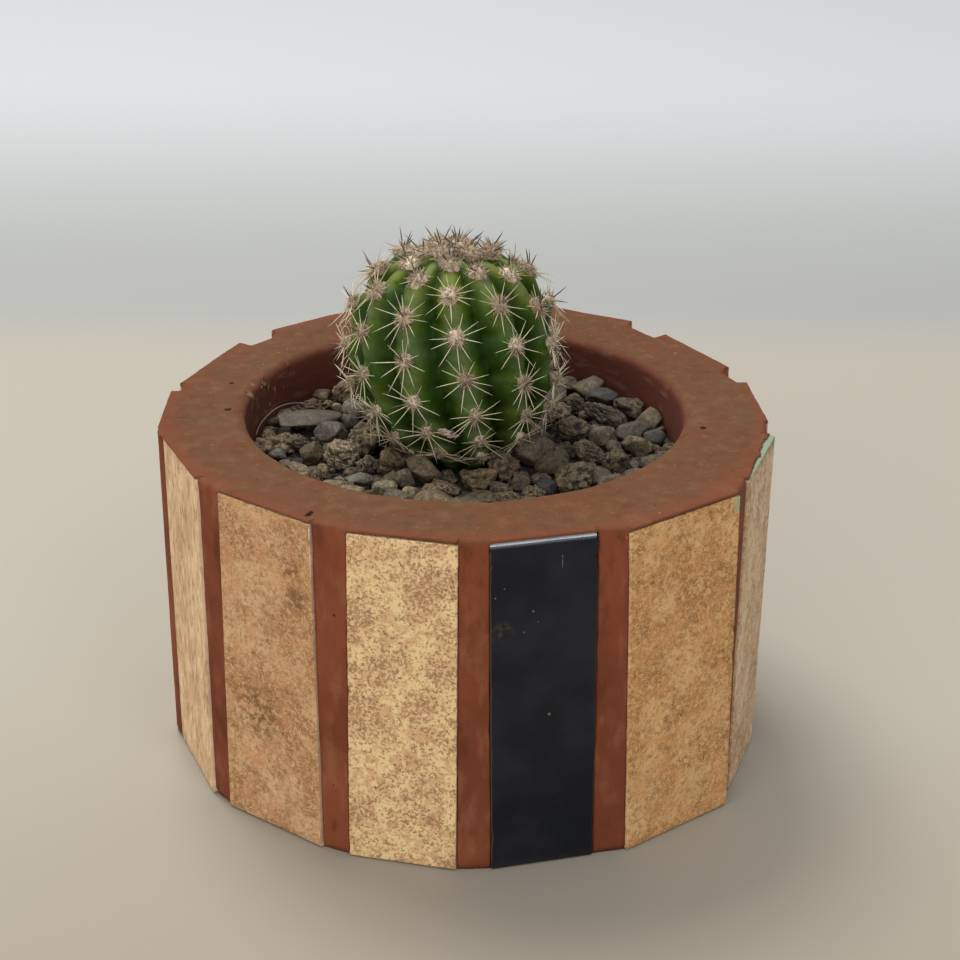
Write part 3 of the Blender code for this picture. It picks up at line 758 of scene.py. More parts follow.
def cork_face(nodes, number, slot):
    """Fired clay with curly flecks, clouded by lighter and warmer patches."""
    ground, dark, light, size = CORK_FACES[slot]
    upright = nodes.stretched((1.0, 1.0, 0.45)) if slot == "tile_grey" else None
    patches = nodes.noise(0.0080, number + 0.3, detail=4.0, roughness=0.65, place=upright)
    fleck = nodes.noise(size, number, detail=4.0, roughness=0.68, distortion=0.9)
    nodes.base = ground
    nodes.lay(light, patches, 0.45, 0.62, 0.75)
    if slot == "tile_grey":
        nodes.lay(dark, nodes.noise(0.0042, number + 0.5, roughness=0.6, place=upright), 0.50, 0.64, 0.70)
    nodes.lay(dark, fleck, 0.50, 0.62, 0.65)
    nodes.lay(light, fleck, 0.49, 0.39, 0.75)
    nodes.lay((0.60, 0.305, 0.130), nodes.noise(0.0036, number + 0.7, roughness=0.6), 0.46, 0.62, 0.55)
    nodes.lay(dark, nodes.curls(size * 1.3, number + 0.6), strength=0.45)
    nodes.lay(light, nodes.curls(size, number + 0.8), strength=0.85)
    if number == 2:
        for share, height, width, colour in STAINS:
            nodes.stain(on_face(2, share, height), width, colour)
        # Painted highlight: a pale pink line down the upper right edge of tile 2.
        edge_highlight = nodes.near_line(on_face(2, 1.0, 0.0610), on_face(2, 1.0, 0.0480), 0.0003)
        nodes.lay((0.95, 0.80, 0.74), edge_highlight)
    nodes.base = nodes.tinted(nodes.base, TILE_TINTS.get(number, (1.0, 1.0, 1.0)))


def cream_face(nodes, number, _):
    """Cream clay with pinkish patches, and brown curls and dots crowded in clouds."""
    clouds = nodes.noise(0.0062, number + 0.4, roughness=0.6)
    mottle = nodes.noise(0.00055, number, roughness=0.62, distortion=0.6)
    threshold = nodes.remap(clouds, 0.38, 0.62, 0.055, -0.050, smooth=False)
    spots = nodes.remap(nodes.math("SUBTRACT", mottle, threshold), 0.46, 0.60)
    pinkish = nodes.noise(0.0021, number + 0.2, roughness=0.62, distortion=0.8)
    nodes.base = nodes.grade(clouds, 0.40, 0.60, (0.78, 0.56, 0.275), (0.72, 0.47, 0.235))
    nodes.lay((0.60, 0.345, 0.165), pinkish, 0.47, 0.60, 0.85)
    nodes.lay((0.30, 0.155, 0.063), spots, strength=0.80)
    nodes.lay((0.86, 0.64, 0.41), nodes.curls(0.0009, number + 0.6, 0.022), strength=0.45)
    nodes.lay((0.16, 0.080, 0.034), nodes.times(nodes.curls(0.0012, number + 0.9, 0.026), spots))
    nodes.lay((0.17, 0.085, 0.036), nodes.cells(0.0009, number), 0.24, 0.15, 0.70)


def streaked_face(nodes, number, _):
    """Tan clay drawn out into upright pale and brown streaks."""
    upright = nodes.stretched((1.0, 1.0, 0.38))
    streaks = nodes.noise(0.0011, number, detail=4.0, roughness=0.62, distortion=0.6, place=upright)
    broad = nodes.noise(0.0050, number + 0.5, place=upright)
    nodes.base = nodes.grade(broad, 0.40, 0.60, (0.72, 0.49, 0.275), (0.58, 0.36, 0.190))
    nodes.lay((0.33, 0.180, 0.090), streaks, 0.50, 0.66, 0.75)
    nodes.lay((0.88, 0.66, 0.44), streaks, 0.47, 0.36, 0.7)


FIRED_FACES = {
    "tile_cork": cork_face,
    "tile_grey": cork_face,
    "tile_cream": cream_face,
    "tile_streaked": streaked_face,
}


def fired_tile(number, slot):
    """Bare fired clay, paler where it was cut, and glazed where a broken edge shows the glaze."""
    nodes = Nodes(f"{slot}_{number:02d}", 0.62, Specular_IOR_Level=0.25)
    FIRED_FACES[slot](nodes, number, slot)
    nodes.lay(BISQUE, nodes.attribute("side"))
    nodes.lay(GLAZE_COLOURS.get(number, BISQUE), nodes.attribute("glaze"))
    return nodes.done(nodes.noise(0.0005, number, detail=2.0), 0.00006)


def black_glaze(number, slot):
    """Glossy black glaze with a few worn specks, laid greyer towards the top edge, with a painted highlight
    line along it.
    """
    shine = {"Specular_IOR_Level": 0.20, "Coat_Weight": 0.12, "Coat_Roughness": 0.06}
    nodes = Nodes(f"{slot}_{number:02d}", 0.22, **shine)
    haze = nodes.noise(0.009, number)
    nodes.base = nodes.grade(haze, 0.35, 0.7, (0.0048, 0.0064, 0.0104), (0.0125, 0.0130, 0.0185))
    nodes.lay((0.25, 0.25, 0.24), nodes.cells(0.0040, number), 0.045, 0.028, 0.30)
    if number == 4:
        scratch = nodes.near_line(on_face(4, 0.662, 0.0581), on_face(4, 0.662, 0.0560), 0.00010)
        nodes.lay((0.22, 0.22, 0.22), scratch, strength=0.6)
        for share, height, size in SPECKS_ON_BLACK:
            nodes.lay((0.11, 0.11, 0.10), nodes.near(on_face(4, share, height), size))
        nodes.stain(on_face(4, 0.10, 0.0455), 0.0026, (0.050, 0.044, 0.030))
    glazed = nodes.base
    from_top = nodes.math("ADD", nodes.attribute("from_top"), nodes.times(haze, 0.12))
    nodes.lay((0.50, 0.36, 0.25), nodes.attribute("side"))
    nodes.lay(glazed, from_top, 1.5, 1.1)
    nodes.lay((0.050, 0.050, 0.056), from_top, 0.95, 0.45, 0.8)
    # Painted highlight: a pale bluish line along the rounded top edge.
    nodes.lay((0.80, 0.86, 0.92), from_top, 0.40, 0.33)
    nodes.roughness(nodes.noise(0.004, number + 0.2), 0.3, 0.7, 0.16, 0.30)
    return nodes.done(nodes.noise(0.003, number + 0.6, detail=2.0), 0.00004)


# Pot


def wall_radius(height):
    return CAVITY_RADIUS - CAVITY_DRAFT * (POT_HEIGHT - height) / (POT_HEIGHT - POT_FLOOR)


def joint_gap(number, side, heights):
    """The concrete stands off a tile's side by a hair, wider in places."""
    ones = np.ones(len(heights))
    run = np.stack((ones * 7.0 * number, ones * side, heights * MM_PER_M), axis=-1)
    return mix(*POCKET_GAP, smoothstep(-0.1, 0.8, rough(run, 5.0, 60)))


def side_points(number, side, heights):
    """Points on a tile's face plane, where the concrete beside it begins."""
    tile = TILES[number - 1]
    reach = side_reach(tile, side, heights) + side * joint_gap(number, side, heights)
    return tile.outward * tile.face + tile.across * reach[:, None]


def arc_rows(rounding, rows):
    """(inset, drop) of a quarter round that starts on the wall and ends on the rim's top."""
    angles = np.linspace(0.0, math.pi / 2.0, rows)
    return rounding * (1.0 - np.cos(angles)), rounding * (1.0 - np.sin(angles))


def ledge_height(number):
    return TILES[number - 1].top + (GLAZED_LEDGE_GAP if is_glazed(number) else LEDGE_GAP)


def flat_rows(number):
    """Heights and depths behind the face of the concrete at a tile: pocket, ledge and lip."""
    ledge = ledge_height(number)
    rounding = min(LIP_ROUNDING, (POT_HEIGHT - ledge) * 0.8)
    inset, drop = arc_rows(rounding, ARC_ROWS)
    heights = [np.linspace(0.0, ledge, WALL_ROWS), np.full(len(LEDGE_DEPTHS) + 1, ledge), POT_HEIGHT - drop]
    depths = [np.full(WALL_ROWS, POCKET_DEPTH), LEDGE_DEPTHS, [0.0], inset]
    return np.concatenate(heights), np.concatenate(depths)


def strip_heights(number):
    """Heights of a strip's rows beside a tile, in step with the tile's own rows."""
    ledge = ledge_height(number)
    leads = LEDGE_LEAD * np.arange(len(LEDGE_DEPTHS), -1.0, -1.0)
    first_angle = math.asin(1.0 - (POT_HEIGHT - ledge) / STRIP_ROUNDING)
    angles = np.linspace(first_angle, math.pi / 2.0, ARC_ROWS + 1)[1:]
    arc = POT_HEIGHT - STRIP_ROUNDING * (1.0 - np.sin(angles))
    low = np.linspace(0.0, ledge - leads[0] - LEDGE_LEAD, WALL_ROWS)
    return np.concatenate((low, ledge - leads, arc))


def strip_depths(heights, shares, width, recess, notch, reach):
    """How far a strip stands back and how far its top is lowered, by its notch and the lips beside it."""
    from_side = np.minimum(shares, 1.0 - shares) * width
    notched = smoothstep(POT_HEIGHT - NOTCH_HEIGHT, POT_HEIGHT - 0.4 * NOTCH_HEIGHT, heights)
    notch = mix(*notch, shares) * notched * smoothstep(0.0, NOTCH_SIDE, from_side)
    depths = recess + notch - mix(*reach, shares) * notched
    depths = depths + BASE_CHAMFER * smoothstep(BASE_CHAMFER, 0.0, heights)
    over = np.maximum(heights - (POT_HEIGHT - STRIP_ROUNDING), 0.0)
    depths = depths + STRIP_ROUNDING - np.sqrt(np.maximum(STRIP_ROUNDING**2 - over**2, 0.0))
    return depths + 0.00012 * np.exp(-from_side / 0.0003), notch * NOTCH_DROP


def lip_reach(number, shares):
    """How far the concrete over a tile stands out past the tile's face, ragged where it stands back."""
    left, right = LIP_REACH.get(number, (0.0, 0.0))
    reach = mix(left, right, shares)
    run = np.stack((shares * 20.0, np.full_like(shares, number), np.zeros_like(shares)), axis=-1)
    return reach + LIP_REACH_JAG * np.minimum(reach, 0.0) * rough(run, 1.9, 70)


def patch(starts, ends, shares, inward, heights, depths):
    """A (row, column) patch of wall between two upright lines."""
    plan = starts[:, None] + (ends - starts)[:, None] * shares[..., None]
    plan = plan + inward(plan) * depths[..., None]
    plan[..., 2] = heights
    return plan


def to_axis(plan):
    return -unit(plan * LEVEL)


def outer_wall():
    """The pot's outside from its foot to the rim's edge, as (row, column) points and a smoothness mask."""
    rng = np.random.default_rng(STRIP_SEED)
    patches = []
    shown = []
    for number in range(1, TILE_COUNT + 1):
        tile = TILES[number - 1]
        following = number % TILE_COUNT + 1
        heights, depths = flat_rows(number)
        ends = side_points(number, -1, heights), side_points(number, 1, heights)
        lip = np.arange(len(heights)) >= WALL_ROWS + len(LEDGE_DEPTHS)
        inset = LIP_SIDE_INSET / top_width(tile) * lip
        shares = inset[:, None] + (1.0 - 2.0 * inset[:, None]) * np.linspace(0.0, 1.0, FLAT_COLUMNS)
        reach = lip_reach(number, shares)
        depths = np.maximum(depths[:, None] - reach * lip[:, None], MOST_PROUD)
        depths = np.maximum(depths, -reach)
        flat = patch(*ends, shares, lambda plan, way=-tile.outward: way, heights[:, None], depths)
        patches.append(flat)
        shown.append(np.broadcast_to(lip[:, None], flat.shape[:2]))

        recess = rng.uniform(*STRIP_RECESS) if following != 1 else LAST_STRIP_RECESS
        notch = BACK_NOTCHES.get(number, (rng.uniform(*FRONT_NOTCH),) * 2)
        reach = LIP_REACH.get(number, (0.0, 0.0))[1], LIP_REACH.get(following, (0.0, 0.0))[0]
        shares = np.linspace(0.0, 1.0, STRIP_COLUMNS)
        heights = mix(strip_heights(number)[:, None], strip_heights(following)[:, None], shares)
        ends = side_points(number, 1, heights[:, 0]), side_points(following, -1, heights[:, -1])
        width = np.linalg.norm((ends[1] - ends[0])[0])
        shares = np.broadcast_to(shares, heights.shape)
        depths, drops = strip_depths(heights, shares, width, recess, notch, reach)
        strip = patch(*ends, shares, to_axis, heights - drops, depths)
        patches.append(strip)
        shown.append(np.ones(strip.shape[:2], dtype=bool))
    return np.concatenate(patches, axis=1), np.concatenate(shown, axis=1)


def rim_and_cavity(edge):
    """Rows from the rim's outer edge in over its top, round its inner edge and down the cavity."""
    away = unit((edge - CAVITY_CENTRE) * LEVEL)
    lip = CAVITY_CENTRE + away * (CAVITY_RADIUS + RIM_ROUNDING) + UP * POT_HEIGHT
    shares = np.linspace(0.0, 1.0, RIM_ROWS + 1)[1:-1, None, None]
    top = mix(edge, lip, shares)
    top[..., 2] = POT_HEIGHT + (edge[:, 2] - POT_HEIGHT) * (1.0 - shares[..., 0]) ** RIM_FLATTENING
    edge_drop, edge_inset = arc_rows(RIM_ROUNDING, INNER_EDGE_ROWS)
    shown = np.linspace(POT_HEIGHT - RIM_ROUNDING, SHOWN_CAVITY_END, SHOWN_CAVITY_ROWS)[1:]
    hidden = np.linspace(SHOWN_CAVITY_END, POT_FLOOR + FLOOR_ROUNDING, HIDDEN_CAVITY_ROWS)[1:-1]
    wall = np.concatenate((shown, hidden))
    foot_inset, foot_rise = arc_rows(FLOOR_ROUNDING, FLOOR_EDGE_ROWS)
    foot = wall_radius(POT_FLOOR) - foot_inset
    radii = np.concatenate((CAVITY_RADIUS + edge_inset, wall_radius(wall), foot, [FLOOR_MIDDLE_RADIUS]))
    heights = np.concatenate((POT_HEIGHT - edge_drop, wall, POT_FLOOR + foot_rise, [POT_FLOOR]))
    inside = CAVITY_CENTRE + away * radii[:, None, None] + UP * heights[:, None, None]
    return np.concatenate((top, inside))


def make_pot():
    wall, shown = outer_wall()
    underside = np.stack([wall[0] * np.array([share, share, 1.0]) for share in UNDERSIDE_SHARES])
    grid = np.concatenate((underside, wall, rim_and_cavity(wall[-1])))
    points, faces = capped_grid(grid, np.zeros(3), CAVITY_CENTRE + UP * POT_FLOOR)
    rows, columns = grid.shape[:2]
    first_rim_row = len(underside) + len(wall)

    weight = np.zeros((rows, columns))
    weight[len(underside) : first_rim_row] = shown
    weight[first_rim_row:] = 1.0
    weight *= smoothstep(0.0, 0.002, grid[..., 2])
    weight = np.append(weight.ravel(), (0.0, 0.0))

    from_cavity = np.hypot(points[:, 0] - CAVITY_CENTRE[0], points[:, 1])
    on_top = smoothstep(POT_HEIGHT - 0.0012, POT_HEIGHT - 0.0002, points[:, 2])
    inner = smoothstep(CAVITY_RADIUS + 0.0012, CAVITY_RADIUS - 0.0002, from_cavity)
    from_edge = np.abs(np.repeat(np.arange(rows), columns) - first_rim_row + 1) * 0.0005
    height = 0.00010 * lumps(points, 0.011, 2) + 0.00005 * rough(points, 0.0028, 5)
    height += 0.00012 * on_top * (1.0 - inner) * lumps(points, 0.006, 9)
    crumbly = smoothstep(CRUMBLY_REACH, 0.0, np.linalg.norm(points - np.array(CRUMBLY_PLACE), axis=1))
    by_cavity = smoothstep(CAVITY_RADIUS + 0.0034, CAVITY_RADIUS + 0.0004, from_cavity)
    crumbs = smoothstep(0.05, 0.55, rough(points, 0.0015, 31)) * by_cavity * (0.2 + 0.8 * crumbly)
    height -= CRUMB_DEPTH * crumbs * on_top
    for spot, radius, depth in PITS:
        distance = np.linalg.norm(points - np.array(spot), axis=1)
        height -= depth * smoothstep(radius, 0.0, distance)
    attributes = {
        "top": on_top,
        "inner": inner,
        "edge": np.append(smoothstep(0.0022, 0.0, from_edge), (0.0, 0.0)),
        "level": np.hypot(points[:, 0], points[:, 1]) * MM_PER_M,
        "crumbs": crumbs,
    }
    piece = add_mesh("cast_pot", points, faces, concrete(), attributes)
    move_points(piece, points + point_normals(piece) * ((height - SURFACE_SINK) * weight)[:, None])
    put(piece, "concrete", "pot")


def concrete():
    """Brick-red cast concrete: cloudy, with pale specks, pinholes and pits laid dark as painted shade in the
    holes, and a dusty top.
    """
    nodes = Nodes("concrete", 0.86, Specular_IOR_Level=0.15)
    clouds = nodes.noise(0.014, 1.0)
    streaks = nodes.noise(0.0034, 2.0, detail=4.0, place=nodes.stretched((1.0, 1.0, 0.40)))
    fine = nodes.noise(0.0009, 3.0)
    dust = nodes.noise(0.0080, 4.0, detail=4.0, roughness=0.6)
    patches = nodes.noise(0.0026, 9.0, detail=4.0, roughness=0.6)

    nodes.base = nodes.grade(dust, 0.40, 0.60, (0.122, 0.045, 0.0185), (0.110, 0.050, 0.0215))
    nodes.lay((0.158, 0.075, 0.035), patches, 0.50, 0.68, 0.50)
    nodes.lay((0.084, 0.033, 0.014), patches, 0.47, 0.34, 0.50)
    nodes.lay((0.215, 0.110, 0.055), fine, 0.58, 0.74, 0.45)
    top = nodes.base

    nodes.base = nodes.grade(clouds, 0.40, 0.60, (0.210, 0.058, 0.025), (0.160, 0.044, 0.019))
    nodes.lay((0.265, 0.098, 0.050), streaks, 0.50, 0.68, 0.6)
    nodes.lay((0.105, 0.027, 0.012), streaks, 0.46, 0.32, 0.6)
    inwards = nodes.remap(nodes.attribute("level"), 54.5, 50.0, 0.65, 1.0)
    nodes.lay(top, nodes.times(nodes.attribute("top"), inwards))

    scrape = nodes.noise(0.0016, 5.0, place=nodes.stretched((0.25, 0.25, 1.0)))
    scraped = nodes.remap(scrape, 0.50, 0.70, 0.0, 0.6)
    nodes.lay(nodes.blend(scraped, (0.115, 0.034, 0.021), (0.230, 0.115, 0.090)), nodes.attribute("inner"))
    edge = nodes.times(nodes.attribute("edge"), nodes.remap(dust, 0.40, 0.60, 0.3, 1.0))
    nodes.lay((0.150, 0.038, 0.018), edge, strength=0.7)

    crumb_shade = nodes.grade(fine, 0.45, 0.58, (0.040, 0.014, 0.007), (0.330, 0.190, 0.105))
    nodes.lay(crumb_shade, nodes.attribute("crumbs"), 0.15, 0.75, 0.75)
    nodes.lay((0.40, 0.25, 0.15), nodes.cells(0.0028, 6.0), 0.090, 0.050, 0.60)
    # Painted shade: pinholes and pits are laid near black, as the shade inside the holes.
    pinholes = nodes.remap(nodes.cells(0.0036, 7.0), 0.065, 0.035)
    nodes.lay((0.022, 0.008, 0.005), pinholes, strength=0.85)
    for spot, radius, _ in PITS:
        nodes.lay((0.010, 0.004, 0.003), nodes.near(spot, radius * 1.25))
    for start, end, width, colour in MARKS:
        nodes.lay(colour, nodes.near_line(start, end, width), strength=0.8)
    nodes.roughness(clouds, 0.3, 0.7, 0.78, 0.92)
    grain = nodes.math("SUBTRACT", nodes.times(fine, 0.5), pinholes)
    return nodes.done(nodes.math("ADD", grain, nodes.noise(0.0022, 8.0)), 0.00010)


# Soil


def dress_soil():
    """The soil keeps its CAD solid, under the gravel, with a crumbly dark material."""
    nodes = Nodes("soil", 0.95)
    crumbs = nodes.noise(0.0015, 1.0, detail=4.0)
    nodes.base = nodes.grade(crumbs, 0.35, 0.65, (0.030, 0.019, 0.012), (0.070, 0.046, 0.030))
    nodes.lay((0.20, 0.17, 0.13), nodes.cells(0.0021, 2.0), 0.22, 0.14, 0.6)
    soil = frame["nodes"]["soil"]
    soil.data.materials.clear()
    soil.data.materials.append(nodes.done(crumbs, 0.0005))


# Gravel


Stone = namedtuple("Stone", "kind x y high length width height turn tone")

# Stones that stand out in the photograph: place, height of the middle, size, turn and tone
SEEN_STONES = (
    Stone("slab", -0.0302, 0.0092, 0.0550, 0.0068, 0.0033, 0.0019, 14, (0.150, 0.130, 0.095)),
    Stone("smooth", -0.0253, 0.0030, 0.0550, 0.0031, 0.0024, 0.0019, -12, (0.150, 0.155, 0.150)),
    Stone("smooth", -0.0222, 0.0085, 0.0545, 0.0014, 0.0017, 0.0016, 60, (0.100, 0.115, 0.120)),
    Stone("smooth", -0.0199, 0.0058, 0.0545, 0.0016, 0.0015, 0.0014, 10, (0.270, 0.215, 0.140)),
    Stone("pumice", -0.0226, -0.0062, 0.0545, 0.0034, 0.0031, 0.0026, 30, (0.580, 0.530, 0.460)),
    Stone("pumice", -0.0299, 0.0184, 0.0535, 0.0030, 0.0022, 0.0016, 0, (0.200, 0.150, 0.100)),
    Stone("smooth", -0.0253, 0.0175, 0.0538, 0.0010, 0.0009, 0.0009, 0, (0.520, 0.440, 0.330)),
    Stone("pumice", -0.0362, 0.0015, 0.0535, 0.0013, 0.0014, 0.0013, 70, (0.300, 0.240, 0.180)),
    Stone("pumice", -0.0313, 0.0009, 0.0540, 0.0022, 0.0018, 0.0015, 20, (0.260, 0.220, 0.180)),
    Stone("smooth", -0.0344, -0.0039, 0.0535, 0.0018, 0.0015, 0.0011, -10, (0.190, 0.195, 0.200)),
    Stone("broken", -0.0284, -0.0047, 0.0540, 0.0030, 0.0027, 0.0027, 35, (0.200, 0.165, 0.100)),
    Stone("broken", -0.0305, -0.0094, 0.0530, 0.0026, 0.0018, 0.0013, -35, (0.330, 0.290, 0.220)),
    Stone("broken", -0.0259, -0.0112, 0.0535, 0.0014, 0.0014, 0.0014, 20, (0.480, 0.380, 0.250)),
    Stone("smooth", -0.0194, -0.0157, 0.0540, 0.0026, 0.0019, 0.0014, -6, (0.185, 0.195, 0.195)),
    Stone("broken", -0.0227, -0.0148, 0.0535, 0.0014, 0.0011, 0.0010, 15, (0.260, 0.240, 0.200)),
    Stone("pumice", -0.0179, -0.0092, 0.0540, 0.0020, 0.0017, 0.0015, 40, (0.300, 0.250, 0.230)),
    Stone("smooth", -0.0149, -0.0190, 0.0540, 0.0026, 0.0020, 0.0015, -8, (0.420, 0.400, 0.320)),
    Stone("broken", -0.0112, -0.0163, 0.0545, 0.0017, 0.0016, 0.0024, 10, (0.210, 0.200, 0.175)),
    Stone("smooth", -0.0102, -0.0210, 0.0540, 0.0015, 0.0015, 0.0016, 30, (0.500, 0.450, 0.340)),
    Stone("pumice", -0.0053, -0.0165, 0.0535, 0.0014, 0.0012, 0.0012, 0, (0.330, 0.290, 0.240)),
    Stone("pumice", -0.0048, -0.0205, 0.0540, 0.0030, 0.0024, 0.0022, -15, (0.460, 0.370, 0.300)),
    Stone("smooth", 0.0249, 0.0215, 0.0545, 0.0033, 0.0026, 0.0019, -10, (0.120, 0.125, 0.125)),
    Stone("pumice", 0.0197, 0.0192, 0.0540, 0.0025, 0.0022, 0.0018, 10, (0.300, 0.255, 0.195)),
    Stone("pumice", 0.0256, 0.0126, 0.0545, 0.0043, 0.0026, 0.0019, -8, (0.240, 0.210, 0.170)),
    Stone("pumice", 0.0186, 0.0056, 0.0545, 0.0036, 0.0030, 0.0024, 5, (0.290, 0.260, 0.205)),
    Stone("smooth", 0.0239, 0.0030, 0.0545, 0.0026, 0.0023, 0.0020, 0, (0.240, 0.210, 0.160)),
    Stone("smooth", 0.0299, 0.0072, 0.0540, 0.0032, 0.0024, 0.0018, 12, (0.230, 0.205, 0.160)),
    Stone("broken", 0.0311, -0.0021, 0.0545, 0.0031, 0.0026, 0.0021, -12, (0.400, 0.345, 0.250)),
    Stone("pumice", 0.0263, -0.0086, 0.0545, 0.0025, 0.0025, 0.0026, 60, (0.330, 0.285, 0.205)),
    Stone("pumice", 0.0215, -0.0036, 0.0540, 0.0036, 0.0022, 0.0017, -20, (0.250, 0.205, 0.145)),
    Stone("pumice", 0.0183, -0.0156, 0.0545, 0.0038, 0.0032, 0.0026, 15, (0.400, 0.350, 0.265)),
    Stone("broken", 0.0160, -0.0047, 0.0540, 0.0017, 0.0015, 0.0018, 20, (0.260, 0.255, 0.235)),
    Stone("smooth", 0.0126, -0.0135, 0.0535, 0.0019, 0.0014, 0.0010, -8, (0.380, 0.330, 0.250)),
    Stone("broken", 0.0090, -0.0145, 0.0540, 0.0021, 0.0018, 0.0019, 25, (0.330, 0.300, 0.240)),
    Stone("broken", 0.0055, -0.0173, 0.0535, 0.0021, 0.0015, 0.0012, 5, (0.290, 0.260, 0.240)),
    Stone("slab", 0.0020, -0.0210, 0.0535, 0.0032, 0.0022, 0.0012, 4, (0.250, 0.225, 0.180)),
    Stone("pumice", 0.0061, -0.0221, 0.0535, 0.0035, 0.0022, 0.0013, -5, (0.460, 0.390, 0.270)),
    Stone("pumice", 0.0112, -0.0205, 0.0538, 0.0020, 0.0017, 0.0013, 8, (0.420, 0.370, 0.280)),
)

STONE_TONES = {
    "smooth": ((0.150, 0.155, 0.150), (0.210, 0.200, 0.175), (0.270, 0.225, 0.160), (0.110, 0.115, 0.115)),
    "broken": ((0.300, 0.260, 0.200), (0.210, 0.190, 0.155), (0.400, 0.335, 0.240), (0.180, 0.150, 0.105)),
    "pumice": ((0.390, 0.330, 0.250), (0.280, 0.235, 0.180), (0.330, 0.270, 0.190), (0.230, 0.200, 0.160)),
}
STONE_SHADE = np.array([0.38, 0.325, 0.25])
CRUMB_SHADE = 0.8

# Flat faces that cut each kind of stone: count, nearest and farthest, and softness of the edges between them
STONE_CUTS = {
    "smooth": (10, 0.72, 0.96, 0.016),
    "broken": (14, 0.60, 0.92, 0.006),
    "pumice": (11, 0.66, 0.95, 0.012),
}
# Share of each kind among the scattered stones, its roughness and the depth of its fine relief
STONE_KINDS = {
    "smooth": (0.27, 0.70, 0.00004),
    "broken": (0.33, 0.80, 0.00008),
    "pumice": (0.40, 0.92, 0.00014),
}
SLAB_FLATNESS = 0.62
SLAB_LEAN = 0.12
STONE_LEAN = 0.45

# Smallest and largest radius of the scattered stones, and how often a place is tried for one
SCATTERED_STONES = ((0.0030, 0.0040, 900), (0.0020, 0.0029, 1600), (0.0012, 0.0019, 2600))
CRUMB_TRIES = 420
CRUMB_REACH = 0.0372
CRUMB_FROM_AXIS = 0.0122
STONE_FROM_AXIS = 0.0116
WALL_CLEARANCE = 0.0003
SKIN_CLEARANCE = 0.0002
SKIN_CLEARED_FROM = 0.0500

# Right of the plant the stones are darker: a painted shadow of the plant
SHADOW_FROM = -0.004
SHADOW_FULL = 0.012
SHADOW_DARKENING = 0.60

BED_COLUMNS = 220
BED_ROWS = 46
BED_INNER_RADIUS = 0.0108


def cut_stone(points, radius, kind, rng):
    """Cuts a ball-like stone by flat faces, with slightly rounded edges between them."""
    count, nearest, farthest, softness = STONE_CUTS[kind]
    normals = unit(rng.normal(size=(count, 3)))
    offsets = rng.uniform(nearest, farthest, count)
    facing = points @ normals.T
    reach = np.where(facing > 0.15, offsets / np.maximum(facing, 0.15), 9.0)
    options = np.concatenate((radius[:, None], reach), axis=1)
    lowest = options.min(axis=1)
    weights = np.exp(-(options - lowest[:, None]) / softness)
    return lowest - softness * np.log(weights.sum(axis=1))


def stone_form(kind, subdivisions, rng):
    """A unit stone: its points, its triangles and how deep in a pore each point lies."""
    points, faces = BALLS[subdivisions]
    place = points + rng.uniform(-40.0, 40.0, 3)
    if kind == "smooth":
        radius = cut_stone(points, 1.02 + 0.13 * lumps(place, 0.9) + 0.05 * lumps(place, 0.4), kind, rng)
        radius = radius + 0.012 * rough(place, 0.22)
        pores = np.zeros(len(points))
    elif kind == "broken":
        radius = cut_stone(points, 1.12 + 0.10 * lumps(place, 0.8), kind, rng)
        pores = smoothstep(0.25, 0.75, lumps(place, 0.21, 5)) * 0.5
        radius = radius + 0.035 * rough(place, 0.35, octaves=4) - 0.05 * pores
    else:
        radius = cut_stone(points, 1.05 + 0.20 * lumps(place, 0.8), kind, rng)
        crests = np.abs(rough(place, 0.50, 4))
        hollows = smoothstep(0.10, 0.65, lumps(place, 0.22, 8))
        pores = np.maximum(0.9 * smoothstep(0.18, 0.0, crests), hollows)
        radius = 0.95 * radius + 0.20 * crests + 0.07 * rough(place, 0.15, 6, octaves=2) - 0.15 * hollows
    return points * radius[:, None], faces, pores


def turned(points, turn, lean, lean_way):
    """Points turned about Z, then leaned by an angle towards a level way."""
    turning = Quaternion((0.0, 0.0, 1.0), math.radians(turn))
    axis = Vector((-math.sin(lean_way), math.cos(lean_way), 0.0))
    matrix = (Quaternion(axis, lean) @ turning).to_matrix()
    return points @ np.array(matrix).T


def keep_clear(points):
    """Stones stop short of the pot's wall and of the plant's skin."""
    heights = points[:, 2]
    limit = wall_radius(heights) - WALL_CLEARANCE
    away = (points - CAVITY_CENTRE) * LEVEL
    points = points - unit(away) * np.maximum(np.linalg.norm(away, axis=1) - limit, 0.0)[:, None]
    away = (points - plant_axis(heights)) * LEVEL
    limit = np.interp(heights, MERIDIAN[2][::-1], MERIDIAN[1][::-1]) + SKIN_CLEARANCE
    limit = np.where(heights < SKIN_CLEARED_FROM, 0.0, limit)
    return points + unit(away) * np.maximum(limit - np.linalg.norm(away, axis=1), 0.0)[:, None]


def add_stone(heaps, stone, subdivisions, rng):
    slab = stone.kind == "slab"
    kind = "smooth" if slab else stone.kind
    points, faces, pores = stone_form(kind, subdivisions, rng)
    height = stone.height * (SLAB_FLATNESS if slab else 1.0)
    points = points * np.array([stone.length, stone.width, height])
    lean = rng.uniform(0.0, SLAB_LEAN if slab else STONE_LEAN)
    points = turned(points, stone.turn, lean, rng.uniform(0.0, math.tau))
    points = keep_clear(points + np.array([stone.x, stone.y, stone.high]))
    shade = np.array(stone.tone) * STONE_SHADE * rng.uniform(0.85, 1.15)
    # Painted shadow: stones right of the plant are darkened.
    shade *= mix(1.0, SHADOW_DARKENING, smoothstep(SHADOW_FROM, SHADOW_FULL, stone.x))
    heaps[kind].add(points, faces, tone=shade, pore=pores)


def random_spot(reach, rng):
    """A place in the cavity, within a reach of its middle, as likely anywhere."""
    spot = CAVITY_CENTRE + outward(rng.uniform(0.0, 360.0)) * reach * math.sqrt(rng.random())
    return spot[:2]


def from_plant(x, y):
    plant = plant_axis(BED_TOP)
    return math.hypot(x - plant[0], y - plant[1])


